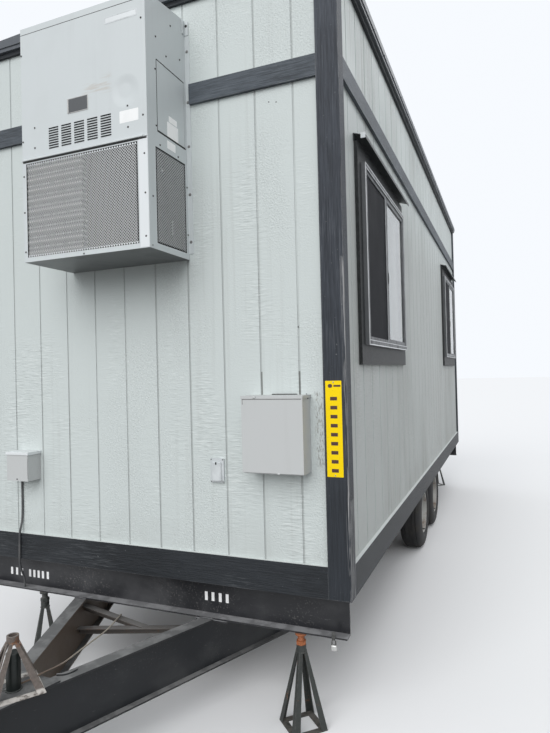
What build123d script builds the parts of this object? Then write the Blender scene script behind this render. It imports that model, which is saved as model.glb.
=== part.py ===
from build123d import *
import os
from math import atan2, cos, degrees, hypot, radians, sin, sqrt, tan

# Portable site cabin on a tandem-axle chassis. Millimetres, +Z up, ground at Z = 0.
# Inside the functions Y = 0 is the front siding face; save() moves the origin to the middle of the footprint.

# Body
body_length = 6096.0
body_width = 2336.8
wall_height = 2827.0
room_height = 2438.0
siding_thickness = 11.0
stud_wall_thickness = 99.0
ceiling_thickness = 13.0
roof_depth = 55.0
roof_crown = 30.0
groove_pitch = 203.2
groove_width = 10.0
groove_depth = 3.0
front_groove_inset = 218.1
skin_joint = 0.5
past = 1.0

# Floor frame, carried above the tyres
tyre_gap = 24.0
frame_depth = 254.0
joist_depth = 140.0
joist_thickness = 38.0
joist_pitch = 406.4
joist_joint = 0.5
deck_thickness = 19.0

# Trim boards
trim_thickness = 19.0
trim_drop = 64.0
bottom_band_height = 153.0
mid_band_rise = 173.0
mid_band_height = 105.0
fascia_lap = 15.0
corner_front_width = 113.6
corner_side_width = 84.0
edge_drop = 46.0
edge_lip = 16.0
edge_thickness = 16.0
edge_bead = 6.0
edge_bead_height = 40.0
edge_flange = 51.0
edge_flange_thickness = 3.0

# Side windows
window_width = 1190.0
window_height = 978.0
window_sill = 990.0
window_center_y = 985.0
frame_proud = 24.0
frame_depth_in = 60.0
frame_bar = 30.0
sash_bar = 26.0
sash_depth = 18.0
sash_inset = 6.0
track_gap = 4.0
meeting_overlap = 22.0
screen_bar = 18.0
glass_thickness = 4.0
screen_thickness = 2.0
casing_side = 88.0
casing_bottom = 104.0
casing_top = 90.0
casing_overlap = 14.0
cap_projection = 51.0
cap_height = 38.0
cap_nose = 17.0
cap_thickness = 3.0
cap_overhang = 14.0

# Door in the hidden side
door_width = 914.0
door_height = 2032.0
door_thickness = 45.0
door_gap = 3.0
door_seat = 0.3
door_stop = 12.0
door_frame_width = 38.0
door_casing = 88.0
knob_height = 950.0
knob_inset = 70.0
knob_radius = 27.0
knob_rose_radius = 31.0
knob_rose_thickness = 6.0
knob_neck_radius = 12.0
knob_neck_end = 30.0
knob_flare = 10.0
knob_round = 6.0
knob_reach = 62.0
hinge_count = 3
hinge_radius = 6.0
hinge_height = 89.0
hinge_inset = 180.0

# Chassis
header_inset = 13.4
header_flange = 61.0
plate_thickness = 8.0
web_thickness = 5.0
beam_flange_width = 84.0
beam_x = 700.0
outrigger_depth = 120.0
outrigger_tip = 40.0
cross_member_count = 7

# Wheels
tyre_radius = 340.0
tyre_width = 205.0
tyre_inset = 60.4
tyre_bulge = 60.0
tyre_shoulder = 45.0
sidewall_draft = 2.0
tread_edge = 12.0
tread_round = 14.0
tread_drop = 6.0
tread_groove_y = 30.0
tread_groove = 8.0
bead_clearance = 0.3
bead_step = 0.5
rim_radius = 184.0
rim_width = 178.0
rim_sheet = 6.0
rim_lip = 12.0
rim_lip_slope = 4.0
disc_sheet = 8.0
disc_dish = 12.0
disc_crest = 114.0
disc_crest_sheet = 10.0
disc_lap = 4.0
disc_seat = 5.0
hub_clearance = 0.05
hub_radius = 62.0
hub_face = 14.0
hub_cap_radius = 36.0
hub_cap_step = 4.0
hub_length = 120.0
wheel_bolt_circle = 165.0
wheel_bolt_count = 5
wheel_bolt_radius = 9.0
wheel_bolt_reach = 20.0
hand_hole_circle = 140.0
hand_hole_radius = 14.0

# Axles and springs
axle_middle_y = 3465.0
axle_spacing = 850.0
axle_tube_radius = 38.0
spindle_radius = 22.0
hub_tube_gap = 8.0
spindle_inset = 6.0
spring_width = 45.0
leaf_thickness = 9.0
leaf_count = 4
leaf_step = 0.24
spring_rise = 42.0
spring_seat_gap = 1.3
eye_radius = 17.0
pin_radius = 8.0
pin_clearance = 0.3
hanger_plate = 6.0
hanger_top_half = 50.0
hanger_foot_half = 22.0
hanger_foot_drop = 24.0
cheek_gap = 1.0
equalizer_half = 75.0
equalizer_end = 24.0
equalizer_depth = 20.0
equalizer_post_half = 34.0
seat_clearance = 0.3
seat_half_length = 55.0
clamp_bolt_radius = 7.0
clamp_bolt_gap = 1.0

# Jack stands
stand_half_diagonal = 125.0
stand_angle = 32.0
stand_angle_thickness = 4.0
stand_drop = 58.0
stand_collar_radius = 24.0
stand_collar_height = 34.0
stand_leg_spread = 17.3
stand_leg_end = 10.0
screw_radius = 15.0
screw_clearance = 2.0
screw_head_radius = 28.5
screw_head_thickness = 8.0
screw_nut_radius = 25.5
nut_sides = 6
stand_turn = 45
screw_nut_lift = 3.0
screw_nut_height = 18.0
stand_front_y = 14.0
stand_front_inset = 249.4
stand_rear_inset = 308.4
stowed_height = 220.0
stowed_half_diagonal = 148.0
stowed_turn = -124.5
stowed_center = (-5.0, -864.0)

# Hitch
hitch_center_x = -8.0
hitch_half_at_wall = 412.0
hitch_slope = 0.42
hitch_flange_width = 70.0
hitch_apex_y = -1000.0
hitch_back_y = 640.0
hitch_plate_front_y = -1015.0
hitch_plate_front_half = 60.0
hitch_plate_back_y = -745.0
hitch_plate_thickness = 8.0
coupler_ball_radius = 30.0
coupler_housing_radius = 55.0
coupler_back_half = 45.0
coupler_depth = 70.0
coupler_roof = 20.0
coupler_round = 8.0
coupler_tip_y = -1219.0
latch_half_width = 14.0
latch_height = 22.0
latch_start = 40.0
latch_length = 80.0
jack_tube_radius = 28.5
jack_tube_top = 612.0
jack_tube_bottom = 250.0
jack_foot_radius = 22.0
jack_foot_bottom = 180.0
jack_pad_radius = 60.0
jack_notch_gap = 2.0
jack_plate_gap = 0.3
jack_cap_round = 8.0
brace_leg = 44.0
brace_thickness = 5.0
brace_drop = 143.0
brace_left_y = -54.0
brace_right_y = 290.0
strut_drop = 52.0
strut_left_y = 40.0
strut_end_x = -30.0
hook_rod_radius = 5.0
hook_rod_sink = 1.0
# The bent rod's points: offset from the right beam's centre line, and Y
hook_rod_route = ((-34.0, -709.0), (-8.5, -694.0), (-4.5, -670.0), (-10.0, -643.0))

# Slack rope from the strut to the tongue jack
rope_radius = 4.0
rope_route = [
    (-206.0, 88.0, 351.1),
    (-190.0, 30.0, 352.1),
    (-162.0, -46.0, 357.0),
    (-128.0, -136.0, 368.0),
    (-97.0, -240.0, 383.0),
    (-70.0, -345.0, 399.0),
    (-36.0, -462.0, 415.0),
    (-4.0, -576.0, 431.0),
    (14.0, -662.0, 449.0),
    (28.0, -735.0, 469.3),
    (16.0, -797.0, 467.3),
    (2.2, -835.5, 468.3),
]

# Wall-mounted air conditioner
unit_center_x = -34.5
unit_width = 773.0
unit_depth = 360.0
unit_drop = 187.0
unit_height = 1183.0
unit_seam_rise = 529.0
unit_sheet = 3.0
unit_flange = 26.0
unit_flange_thickness = 4.0
unit_flange_lift = 32.0
lid_front_height = 32.0
lid_back_height = 82.0
front_border_left = 24.0
front_border_right = 58.0
front_border_low = 24.0
front_border_high = 21.0
side_border_front = 65.0
side_border_back = 25.0
side_border_low = 32.0
side_border_high = 31.0
grille_setback = 1.0
grille_sheet = 1.5
drip_reach = 8.0
drip_height = 6.0
drip_end = 22.0
pan_height = 22.0
pan_proud = 2.0
corner_wrap = 26.0
corner_proud = 1.5
hatch_y = (-275.0, -22.0)
hatch_low_rise = 582.0
hatch_height = 345.0
hatch_groove = 3.0
louvre_columns = 5
louvre_rows = 9
louvre_left = 178.0
louvre_low = 33.0
louvre_width = 63.0
louvre_height = 7.0
louvre_pitch_x = 81.5
louvre_pitch_z = 12.5
louvre_depth = 25.0
coil_width = 340.0
coil_setback = 26.0
coil_depth = 30.0
coil_tube_radius = 11.0
coil_tube_count = 9

# Electrical fittings on the front wall
panel_corner_inset = 168.4
panel_width = 305.0
panel_rise = 374.0
panel_height = 362.0
panel_depth = 124.0
panel_lid = 12.0
panel_lid_lip = 4.0
panel_lid_lift = 6.0
panel_hood = 14.0
panel_hood_lap = 4.0
panel_hood_lip = 6.0
panel_hood_drip = 2.0
outlet_corner_inset = 638.4
outlet_width = 77.0
outlet_rise = 299.0
outlet_height = 124.0
outlet_depth = 24.0
outlet_round = 6.0
outlet_base = 12.0
outlet_border = 10.0
outlet_lid_round = 11.0
outlet_hinge_drop = 22.0
outlet_hinge_radius = 4.0
outlet_hinge_length = 44.0
junction_corner_inset = 310.4
junction_width = 160.0
junction_rise = 259.0
junction_height = 162.0
junction_depth = 100.0
junction_lid = 14.0
junction_lid_lip = 3.0
cable_radius = 6.0
cable_wall_gap = 1.0
cable_inset = 18.0
cable_landing_y = 14.0
# Cable bends: sideways drift, distance out from the cable's lie, and height from the band's edge
cable_above_band = ((0, 0, 150), (3, 2, 70))
cable_on_band = ((6, 0, 10), (10, 0, -90))
cable_below_band = ((13, -1, -20), (15, -14, -70))
cable_foot = (16, 55)
bend_share = 0.45

# Sizes that follow from those above
half_width = body_width / 2
stud_face_x = half_width - siding_thickness
room_half_x = stud_face_x - stud_wall_thickness
wall_depth = siding_thickness + stud_wall_thickness
frame_top = 2 * tyre_radius + tyre_gap
frame_bottom = frame_top - frame_depth
joist_top = frame_top + joist_depth
floor_top = joist_top + deck_thickness
ceiling_bottom = floor_top + room_height
wall_top = floor_top + wall_height
eave_top = wall_top + roof_depth
fascia_bottom = wall_top - fascia_lap
edge_bottom = eave_top - edge_drop
trim_bottom = frame_top - trim_drop
trim_x = half_width + trim_thickness
corner_inner_x = trim_x - corner_front_width
corner_inner_y = corner_side_width - trim_thickness
edge_x = trim_x + edge_thickness
edge_reach = trim_thickness + edge_thickness
cap_x = trim_x + cap_projection
window_bottom = floor_top + window_sill
window_top = window_bottom + window_height
window_rows_y = (window_center_y, body_length - window_center_y)
mid_band_bottom = window_top + casing_top + cap_height + mid_band_rise
door_y = body_length / 2
unit_top = wall_top - unit_drop
unit_bottom = unit_top - unit_height
unit_seam = unit_bottom + unit_seam_rise
panel_right = half_width - panel_corner_inset
panel_left = panel_right - panel_width
outlet_right = half_width - outlet_corner_inset
outlet_left = outlet_right - outlet_width
junction_left = junction_corner_inset - half_width
junction_right = junction_left + junction_width
cable_x = junction_left + cable_inset
unit_left = unit_center_x - unit_width / 2
unit_right = unit_center_x + unit_width / 2
wheel_x = half_width - tyre_inset - tyre_width / 2
axle_rows = (axle_middle_y - axle_spacing / 2, axle_middle_y + axle_spacing / 2)
hitch_turn = degrees(atan2(hitch_slope, 1.0))
beam_spare = 100.0
coupler_ball_y = coupler_tip_y + coupler_housing_radius
origin_y = (coupler_tip_y + body_length + edge_reach + edge_bead) / 2


def span(low, high):
    """Box from its lowest to its highest corner."""
    size = [b - a for a, b in zip(low, high)]
    middle = [(a + b) / 2 for a, b in zip(low, high)]
    return Pos(*middle) * Box(*size)


def post(x, y, low, high, radius):
    """Upright round bar between two heights."""
    return Pos(x, y, (low + high) / 2) * Cylinder(radius, high - low)


def save(name, *solids):
    """Moves the origin to the footprint's middle and writes one node."""
    moved = [Pos(0, -origin_y, 0) * solid for solid in solids]
    shape = moved[0] if len(moved) == 1 else Compound(children=moved)
    export_step(shape, f"parts/{name}.step")


def mirrored(solid):
    """The same piece on the other long side."""
    return mirror(solid, Plane.YZ)


def turned_end_for_end(solid):
    """The same piece at the other end of the body."""
    return mirror(solid, Plane.XZ.offset(-body_length / 2))


def i_beam(length, depth, width, flange=plate_thickness, web=web_thickness):
    """I-section along +Y from Y = 0, with its top face at Z = 0."""
    section = Pos(0, -flange / 2) * Rectangle(width, flange)
    section += Pos(0, -depth / 2) * Rectangle(web, depth)
    section += Pos(0, flange / 2 - depth) * Rectangle(width, flange)
    return extrude(Plane.XZ * section, -length)


def channel(length, depth, width, flange=plate_thickness, web=web_thickness):
    """Channel along +X, centred, toes towards -Y, web at Y = 0, bottom at Z = 0."""
    section = Pos(-web / 2, depth / 2) * Rectangle(web, depth)
    section += Pos(-width / 2, flange / 2) * Rectangle(width, flange)
    section += Pos(-width / 2, depth - flange / 2) * Rectangle(width, flange)
    return Pos(-length / 2, 0, 0) * extrude(Plane.YZ * section, length)


def side_ring(x_span, y_span, z_span, bar):
    """Rectangular ring in a long side's plane, its bars all one width."""
    ring = span((x_span[0], y_span[0], z_span[0]), (x_span[1], y_span[1], z_span[1]))
    return ring - span(
        (x_span[0] - past, y_span[0] + bar, z_span[0] + bar),
        (x_span[1] + past, y_span[1] - bar, z_span[1] - bar),
    )


# Walls, floor, ceiling and roof
def window_hole(x_low, x_high):
    """Through-cuts for one long side's two windows."""
    half = window_width / 2
    return [span((x_low, y - half, window_bottom), (x_high, y + half, window_top)) for y in window_rows_y]


def door_hole(x_low, x_high):
    """Through-cut for the door, open at the floor."""
    half = door_width / 2 + door_frame_width
    head = floor_top + door_height + door_frame_width
    return span((x_low, door_y - half, floor_top - past), (x_high, door_y + half, head))


def build_walls():
    end = span((-room_half_x, siding_thickness, floor_top), (room_half_x, wall_depth, wall_top))
    save("front_wall", end)
    save("rear_wall", turned_end_for_end(end))
    side = span(
        (room_half_x, siding_thickness, floor_top),
        (stud_face_x, body_length - siding_thickness, wall_top),
    )
    for hole in window_hole(room_half_x - past, stud_face_x + past):
        side -= hole
    save("right_wall", side)
    save("left_wall", mirrored(side) - mirrored(door_hole(room_half_x - past, stud_face_x + past)))


def build_siding():
    front = span(
        (-stud_face_x + skin_joint, 0, frame_top),
        (stud_face_x - skin_joint, siding_thickness - skin_joint, wall_top),
    )
    groove_x = half_width - front_groove_inset
    while groove_x > -corner_inner_x:
        front -= span(
            (groove_x - groove_width / 2, -past, frame_top - past),
            (groove_x + groove_width / 2, groove_depth, wall_top + past),
        )
        groove_x -= groove_pitch
    side = span((stud_face_x, 0, frame_top), (half_width, body_length, wall_top))
    groove_y = groove_pitch
    while groove_y < body_length - corner_inner_y:
        side -= span(
            (half_width - groove_depth, groove_y - groove_width / 2, frame_top - past),
            (half_width + past, groove_y + groove_width / 2, wall_top + past),
        )
        groove_y += groove_pitch
    for hole in window_hole(stud_face_x - past, half_width + past):
        side -= hole
    left = mirrored(side) - mirrored(door_hole(stud_face_x - past, half_width + past))
    save("siding", front, turned_end_for_end(front), side, left)


def build_floor():
    y_low = siding_thickness
    y_high = body_length - siding_thickness
    rim_x = stud_face_x - joist_thickness
    rim = span((rim_x, y_low, frame_top), (stud_face_x, y_high, joist_top))
    bays = round((y_high - y_low - joist_thickness) / joist_pitch)
    pitch = (y_high - y_low - joist_thickness) / bays
    joist_half = rim_x - joist_joint
    joists = [
        span(
            (-joist_half, y_low + i * pitch, frame_top),
            (joist_half, y_low + i * pitch + joist_thickness, joist_top),
        )
        for i in range(bays + 1)
    ]
    save("floor_joists", rim, mirrored(rim), *joists)
    save("floor_deck", span((-stud_face_x, y_low, joist_top), (stud_face_x, y_high, floor_top)))
    save(
        "ceiling",
        span(
            (-room_half_x, wall_depth, ceiling_bottom),
            (room_half_x, body_length - wall_depth, ceiling_bottom + ceiling_thickness),
        ),
    )


def crowned_slab(half_x, bottom, eave, crown, y_low, y_high):
    """Slab with a flat bottom and a crowned top, carried from one Y to another."""
    arc = ThreePointArc((-half_x, eave), (0, eave + crown), (half_x, eave))
    rest = Polyline((half_x, eave), (half_x, bottom), (-half_x, bottom), (-half_x, eave))
    section = Plane.XZ * make_face(arc + rest)
    return Pos(0, y_low, 0) * extrude(section, -(y_high - y_low))


def build_roof():
    save("roof", crowned_slab(half_width, wall_top, eave_top, roof_crown, 0, body_length))
    outer_lip = eave_top + edge_lip
    over_roof = eave_top + 2 * edge_lip
    roof_ends = (-trim_thickness, body_length + trim_thickness)
    ring = crowned_slab(
        edge_x, edge_bottom, outer_lip, roof_crown, -edge_reach, body_length + edge_reach
    )
    ring -= crowned_slab(trim_x, edge_bottom - past, over_roof, roof_crown, *roof_ends)
    flange = crowned_slab(trim_x, edge_bottom, eave_top + edge_flange_thickness, roof_crown, *roof_ends)
    flange -= crowned_slab(trim_x, edge_bottom - past, eave_top, roof_crown, *roof_ends)
    flange -= crowned_slab(
        half_width - edge_flange, edge_bottom, over_roof, roof_crown, edge_flange, body_length - edge_flange
    )
    bead_bottom = outer_lip - edge_bead_height
    bead = span(
        (-edge_x - edge_bead, -edge_reach - edge_bead, bead_bottom),
        (edge_x + edge_bead, body_length + edge_reach + edge_bead, outer_lip),
    )
    bead -= span(
        (-edge_x, -edge_reach, bead_bottom - past), (edge_x, body_length + edge_reach, outer_lip + past)
    )
    save("roof_edge", ring + flange + bead)


# Trim boards
def build_trim():
    corner = span((corner_inner_x, -trim_thickness, trim_bottom), (trim_x, 0, fascia_bottom))
    corner += span((half_width, 0, trim_bottom), (trim_x, corner_inner_y, fascia_bottom))
    corners = [corner, mirrored(corner)]
    corners += [turned_end_for_end(c) for c in corners]
    save("corner_boards", *corners)

    trim_top = trim_bottom + bottom_band_height
    front_low = span((-corner_inner_x, -trim_thickness, trim_bottom), (corner_inner_x, 0, trim_top))
    side_low = span(
        (half_width, corner_inner_y, trim_bottom), (trim_x, body_length - corner_inner_y, trim_top)
    )
    save("bottom_bands", front_low, turned_end_for_end(front_low), side_low, mirrored(side_low))

    mid_top = mid_band_bottom + mid_band_height
    side_mid = span(
        (half_width, corner_inner_y, mid_band_bottom), (trim_x, body_length - corner_inner_y, mid_top)
    )
    front_mid = span((-corner_inner_x, -trim_thickness, mid_band_bottom), (corner_inner_x, 0, mid_top))
    unit_gap = span(
        (unit_left - unit_flange, -unit_depth, unit_bottom), (unit_right + unit_flange, past, unit_top)
    )
    split_mid = (front_mid - unit_gap).solids()
    save("mid_bands", *split_mid, turned_end_for_end(front_mid), side_mid, mirrored(side_mid))

    fascia = crowned_slab(trim_x, fascia_bottom, eave_top, roof_crown, -trim_thickness, 0)
    side_fascia = span((half_width, 0, fascia_bottom), (trim_x, body_length, eave_top))
    save("fascia_boards", fascia + side_fascia + mirrored(side_fascia) + turned_end_for_end(fascia))


# Side windows
def build_windows():
    frames, glass, screens, casings, caps = [], [], [], [], []
    outer_x = trim_x + frame_proud
    bar_z = (window_bottom + frame_bar, window_top - frame_bar)
    outer_track = (outer_x - sash_inset - sash_depth, outer_x - sash_inset)
    inner_track = (outer_track[0] - track_gap - sash_depth, outer_track[0] - track_gap)
    for y in window_rows_y:
        y_low = y - window_width / 2
        y_high = y + window_width / 2
        front_y = (y_low + frame_bar, y + meeting_overlap)
        rear_y = (y - meeting_overlap, y_high - frame_bar)
        frame = side_ring(
            (outer_x - frame_depth_in, outer_x), (y_low, y_high), (window_bottom, window_top), frame_bar
        )
        frame += side_ring(outer_track, rear_y, bar_z, sash_bar)
        frame += side_ring(inner_track, front_y, bar_z, sash_bar)
        frame += side_ring(outer_track, (front_y[0], rear_y[0]), bar_z, screen_bar)
        frame += span(
            (inner_track[0], front_y[1] - sash_bar, bar_z[0]),
            (outer_track[1], rear_y[0] + sash_bar, bar_z[1]),
        )
        frames.append(frame)
        for y_span, track in ((front_y, inner_track), (rear_y, outer_track)):
            middle_x = (track[0] + track[1]) / 2
            glass.append(
                span(
                    (middle_x - glass_thickness / 2, y_span[0] + sash_bar, bar_z[0] + sash_bar),
                    (middle_x + glass_thickness / 2, y_span[1] - sash_bar, bar_z[1] - sash_bar),
                )
            )
        screen_x = outer_track[1] - screen_bar / 2
        screens.append(
            span(
                (screen_x, front_y[0] + screen_bar, bar_z[0] + screen_bar),
                (screen_x + screen_thickness, rear_y[0] - screen_bar, bar_z[1] - screen_bar),
            )
        )
        casing_low = y_low - casing_side + casing_overlap
        casing_high = y_high + casing_side - casing_overlap
        casing = span(
            (half_width, casing_low, window_bottom - casing_bottom),
            (trim_x, casing_high, window_top + casing_top),
        )
        casing -= span((half_width - past, y_low, window_bottom), (trim_x + past, y_high, window_top))
        casings.append(casing)
        caps.append(drip_cap(casing_low - cap_overhang, casing_high + cap_overhang, window_top + casing_top))
    for name, made in (
        ("window_frames", frames),
        ("window_glass", glass),
        ("window_screens", screens),
        ("window_casings", casings),
        ("drip_caps", caps),
    ):
        save(name, *made, *[mirrored(piece) for piece in made])


def drip_cap(y_low, y_high, z):
    """Folded sheet over a window: sloped top, turned-down nose, back flange on the siding."""
    outline = Polyline(
        (half_width, z + cap_height),
        (cap_x, z + cap_nose),
        (cap_x, z),
        (cap_x - cap_thickness, z),
        (cap_x - cap_thickness, z + cap_nose - cap_thickness),
        (half_width + cap_thickness, z + cap_height - cap_thickness),
        (half_width + cap_thickness, z),
        (half_width, z),
        close=True,
    )
    return Pos(0, y_low, 0) * extrude(Plane.XZ * make_face(outline), -(y_high - y_low))


def build_door():
    half = door_width / 2
    head = floor_top + door_height
    frame = door_surround(half_width, room_half_x, door_frame_width, 0)
    casing = door_surround(trim_x, half_width, door_casing, 0)
    stop = door_surround(stud_face_x - door_thickness - door_seat, room_half_x, 0, door_stop)
    for hinge in door_hinges():
        frame += hinge
    save("door_frame", frame + casing + stop)
    outer_x = -stud_face_x
    inner_x = -stud_face_x + door_thickness
    door = span(
        (outer_x, door_y - half + door_gap, floor_top + door_gap),
        (inner_x, door_y + half - door_gap, head - door_gap),
    )
    profile = Polyline(
        (0, 0), (knob_rose_radius, 0), (knob_rose_radius, knob_rose_thickness),
        (knob_neck_radius, knob_rose_thickness), (knob_neck_radius, knob_neck_end),
        (knob_radius, knob_neck_end + knob_flare), (knob_radius, knob_reach - knob_round), (0, knob_reach),
        close=True,
    )
    knob = revolve(Plane.XZ * make_face(profile), Axis.Z)
    for turn, x in ((-90, outer_x), (90, inner_x)):
        door += Pos(x, door_y + half - knob_inset, floor_top + knob_height) * Rot(0, turn, 0) * knob
    save("door", door)


def door_hinges():
    """Knuckles of the door's butt hinges, in the reveal at the edge away from the knob."""
    x = -stud_face_x - hinge_radius - door_seat
    y = door_y - door_width / 2
    low = floor_top + hinge_inset - hinge_height / 2
    pitch = (door_height - 2 * hinge_inset) / (hinge_count - 1)
    return [
        post(x, y, low + i * pitch, low + i * pitch + hinge_height, hinge_radius) for i in range(hinge_count)
    ]


def door_surround(outer, inner, grow, shrink):
    """Three-sided surround of the door opening in the hidden wall, between two distances from the middle."""
    half = door_width / 2
    head = floor_top + door_height
    board = span((-outer, door_y - half - grow, floor_top), (-inner, door_y + half + grow, head + grow))
    return board - span(
        (-outer - past, door_y - half + shrink, floor_top - past),
        (-inner + past, door_y + half - shrink, head - shrink),
    )


# Chassis
def build_chassis():
    header = Pos(0, header_flange, frame_bottom) * channel(
        2 * (half_width - header_inset), frame_depth, header_flange
    )
    save("headers", header, turned_end_for_end(header))
    beam_length = body_length - 2 * header_flange
    beam = Pos(beam_x, header_flange, frame_top) * i_beam(beam_length, frame_depth, beam_flange_width)
    save("main_beams", beam, mirrored(beam))
    members = []
    member_top = frame_top - plate_thickness
    web_x = beam_x + web_thickness / 2
    spacing = beam_length / (cross_member_count - 1)
    for i in range(1, cross_member_count - 1):
        y = header_flange + i * spacing
        members.append(
            Pos(0, y, member_top - outrigger_depth)
            * channel(2 * beam_x - web_thickness, outrigger_depth, beam_flange_width / 2)
        )
        if min(abs(y - axle) for axle in axle_rows) < tyre_radius + spring_width:
            continue
        outline = Polyline(
            (web_x, member_top), (stud_face_x, member_top), (stud_face_x, member_top - outrigger_tip),
            (web_x, frame_bottom + plate_thickness), close=True,
        )
        arm = Pos(0, y, 0) * extrude(Plane.XZ * make_face(outline), web_thickness)
        arm += span(
            (beam_x + beam_flange_width / 2, y - web_thickness, member_top),
            (stud_face_x, y + header_flange, frame_top),
        )
        members += [arm, mirrored(arm)]
    save("cross_members", *members)


def leaf_spring(middle_y, x):
    """Leaves under the axle, shorter downwards, with rolled eyes on the main leaf."""
    half_span = axle_spacing / 2 - equalizer_half
    radius = (half_span ** 2 + spring_rise ** 2) / (2 * spring_rise)
    top_z = tyre_radius - axle_tube_radius - spring_seat_gap
    center = (0, top_z - leaf_thickness / 2 + radius)
    section = None
    for i in range(leaf_count):
        share = 1.0 - leaf_step * i
        angle = degrees(atan2(half_span * share, radius))
        leaf_radius = radius + i * leaf_thickness
        above = CenterArc(center, leaf_radius - leaf_thickness / 2, 270 - angle, 2 * angle)
        below = CenterArc(center, leaf_radius + leaf_thickness / 2, 270 - angle, 2 * angle)
        ends = [Line(above @ 0, below @ 0), Line(above @ 1, below @ 1)]
        leaf = make_face([above, below, *ends])
        section = leaf if section is None else section + leaf
    reach = atan2(half_span, radius)
    eye_y = radius * sin(reach)
    eye_z = center[1] - radius * cos(reach) + eye_radius - leaf_thickness / 2
    for side in (-1, 1):
        section += Pos(side * eye_y, eye_z) * Circle(eye_radius)
        section -= Pos(side * eye_y, eye_z) * Circle(pin_radius + pin_clearance)
    pack = extrude(Plane.YZ * section, spring_width)
    return Pos(x - spring_width / 2, middle_y, 0) * pack, eye_y, eye_z


def axle_clamp(x, y):
    """Spring seat under the tube, with the clamp plate under the leaves and its four bolts."""
    tube_low = tyre_radius - axle_tube_radius
    half = spring_width / 2 + clamp_bolt_radius + clamp_bolt_gap
    reach = half + clamp_bolt_radius
    clamp = span(
        (x - reach, y - seat_half_length, tube_low),
        (x + reach, y + seat_half_length, tube_low + axle_tube_radius / 2),
    )
    plate_top = tube_low - spring_seat_gap - leaf_count * leaf_thickness - seat_clearance
    clamp += span(
        (x - reach, y - seat_half_length, plate_top - plate_thickness),
        (x + reach, y + seat_half_length, plate_top),
    )
    bolt_low = plate_top - plate_thickness - 2 * clamp_bolt_radius
    bolt_high = tube_low + axle_tube_radius / 2 + clamp_bolt_radius
    bolt_row = axle_tube_radius + clamp_bolt_radius
    for bolt_x in (x - half, x + half):
        for bolt_y in (y - bolt_row, y + bolt_row):
            clamp += post(bolt_x, bolt_y, bolt_low, bolt_high, clamp_bolt_radius)
    return clamp


def build_axles():
    axles, springs, hangers = [], [], []
    tube_half = wheel_x - hub_length / 2 - hub_tube_gap
    spindle_half = wheel_x + hub_length / 2 - spindle_inset
    for y in axle_rows:
        axle = Pos(0, y, tyre_radius) * Rot(0, 90, 0) * Cylinder(axle_tube_radius, 2 * tube_half)
        axle += Pos(0, y, tyre_radius) * Rot(0, 90, 0) * Cylinder(spindle_radius, 2 * spindle_half)
        for side in (-1, 1):
            axle += axle_clamp(side * beam_x, y)
            pack, eye_y, eye_z = leaf_spring(y, side * beam_x)
            springs.append(pack)
        axles.append(axle)
    save("axles", *axles)
    save("leaf_springs", *springs)
    for side in (-1, 1):
        for eye in (axle_rows[0] - eye_y, axle_rows[1] + eye_y):
            hangers.append(hanger(side * beam_x, eye, eye_z))
        hangers.append(equalizer(side * beam_x, axle_middle_y, axle_spacing / 2 - eye_y, eye_z))
    save("spring_hangers", *hangers)


def cheeks(x, outline):
    """The same plate each side of the spring."""
    gap = spring_width / 2 + cheek_gap
    plate = extrude(Plane.YZ * outline, hanger_plate)
    return Pos(x + gap, 0, 0) * plate + Pos(x - gap - hanger_plate, 0, 0) * plate


def eye_pin(x, y, z):
    """Pin through both cheeks and the spring's eye."""
    reach = spring_width + 2 * cheek_gap + 2 * hanger_plate
    return Pos(x, y, z) * Rot(0, 90, 0) * Cylinder(pin_radius, reach)


def hanger(x, y, eye_z):
    """Two tapered cheek plates under the beam with the eye's pin between them."""
    foot_z = eye_z - hanger_foot_drop
    outline = Polyline(
        (y - hanger_top_half, frame_bottom), (y + hanger_top_half, frame_bottom),
        (y + hanger_foot_half, foot_z), (y - hanger_foot_half, foot_z), close=True,
    )
    return cheeks(x, make_face(outline)) + eye_pin(x, y, eye_z)


def equalizer(x, y, half, eye_z):
    """Centre hanger with the rocker that carries one eye of each spring."""
    tip = half + equalizer_end
    low = eye_z - equalizer_depth
    high = eye_z + equalizer_depth
    waist = frame_bottom - equalizer_depth
    post_half = equalizer_post_half
    outline = Polyline(
        (y - tip, low), (y + tip, low), (y + tip, high), (y + post_half, waist),
        (y + post_half, frame_bottom), (y - post_half, frame_bottom), (y - post_half, waist), (y - tip, high),
        close=True,
    )
    piece = cheeks(x, make_face(outline))
    for pin_y in (y - half, y + half):
        piece += eye_pin(x, pin_y, eye_z)
    return piece


def turned(points):
    """Solid of revolution about Z from an outline of radius and height."""
    return revolve(Plane.XZ * make_face(Polyline(*points, close=True)), Axis.Z)


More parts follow.
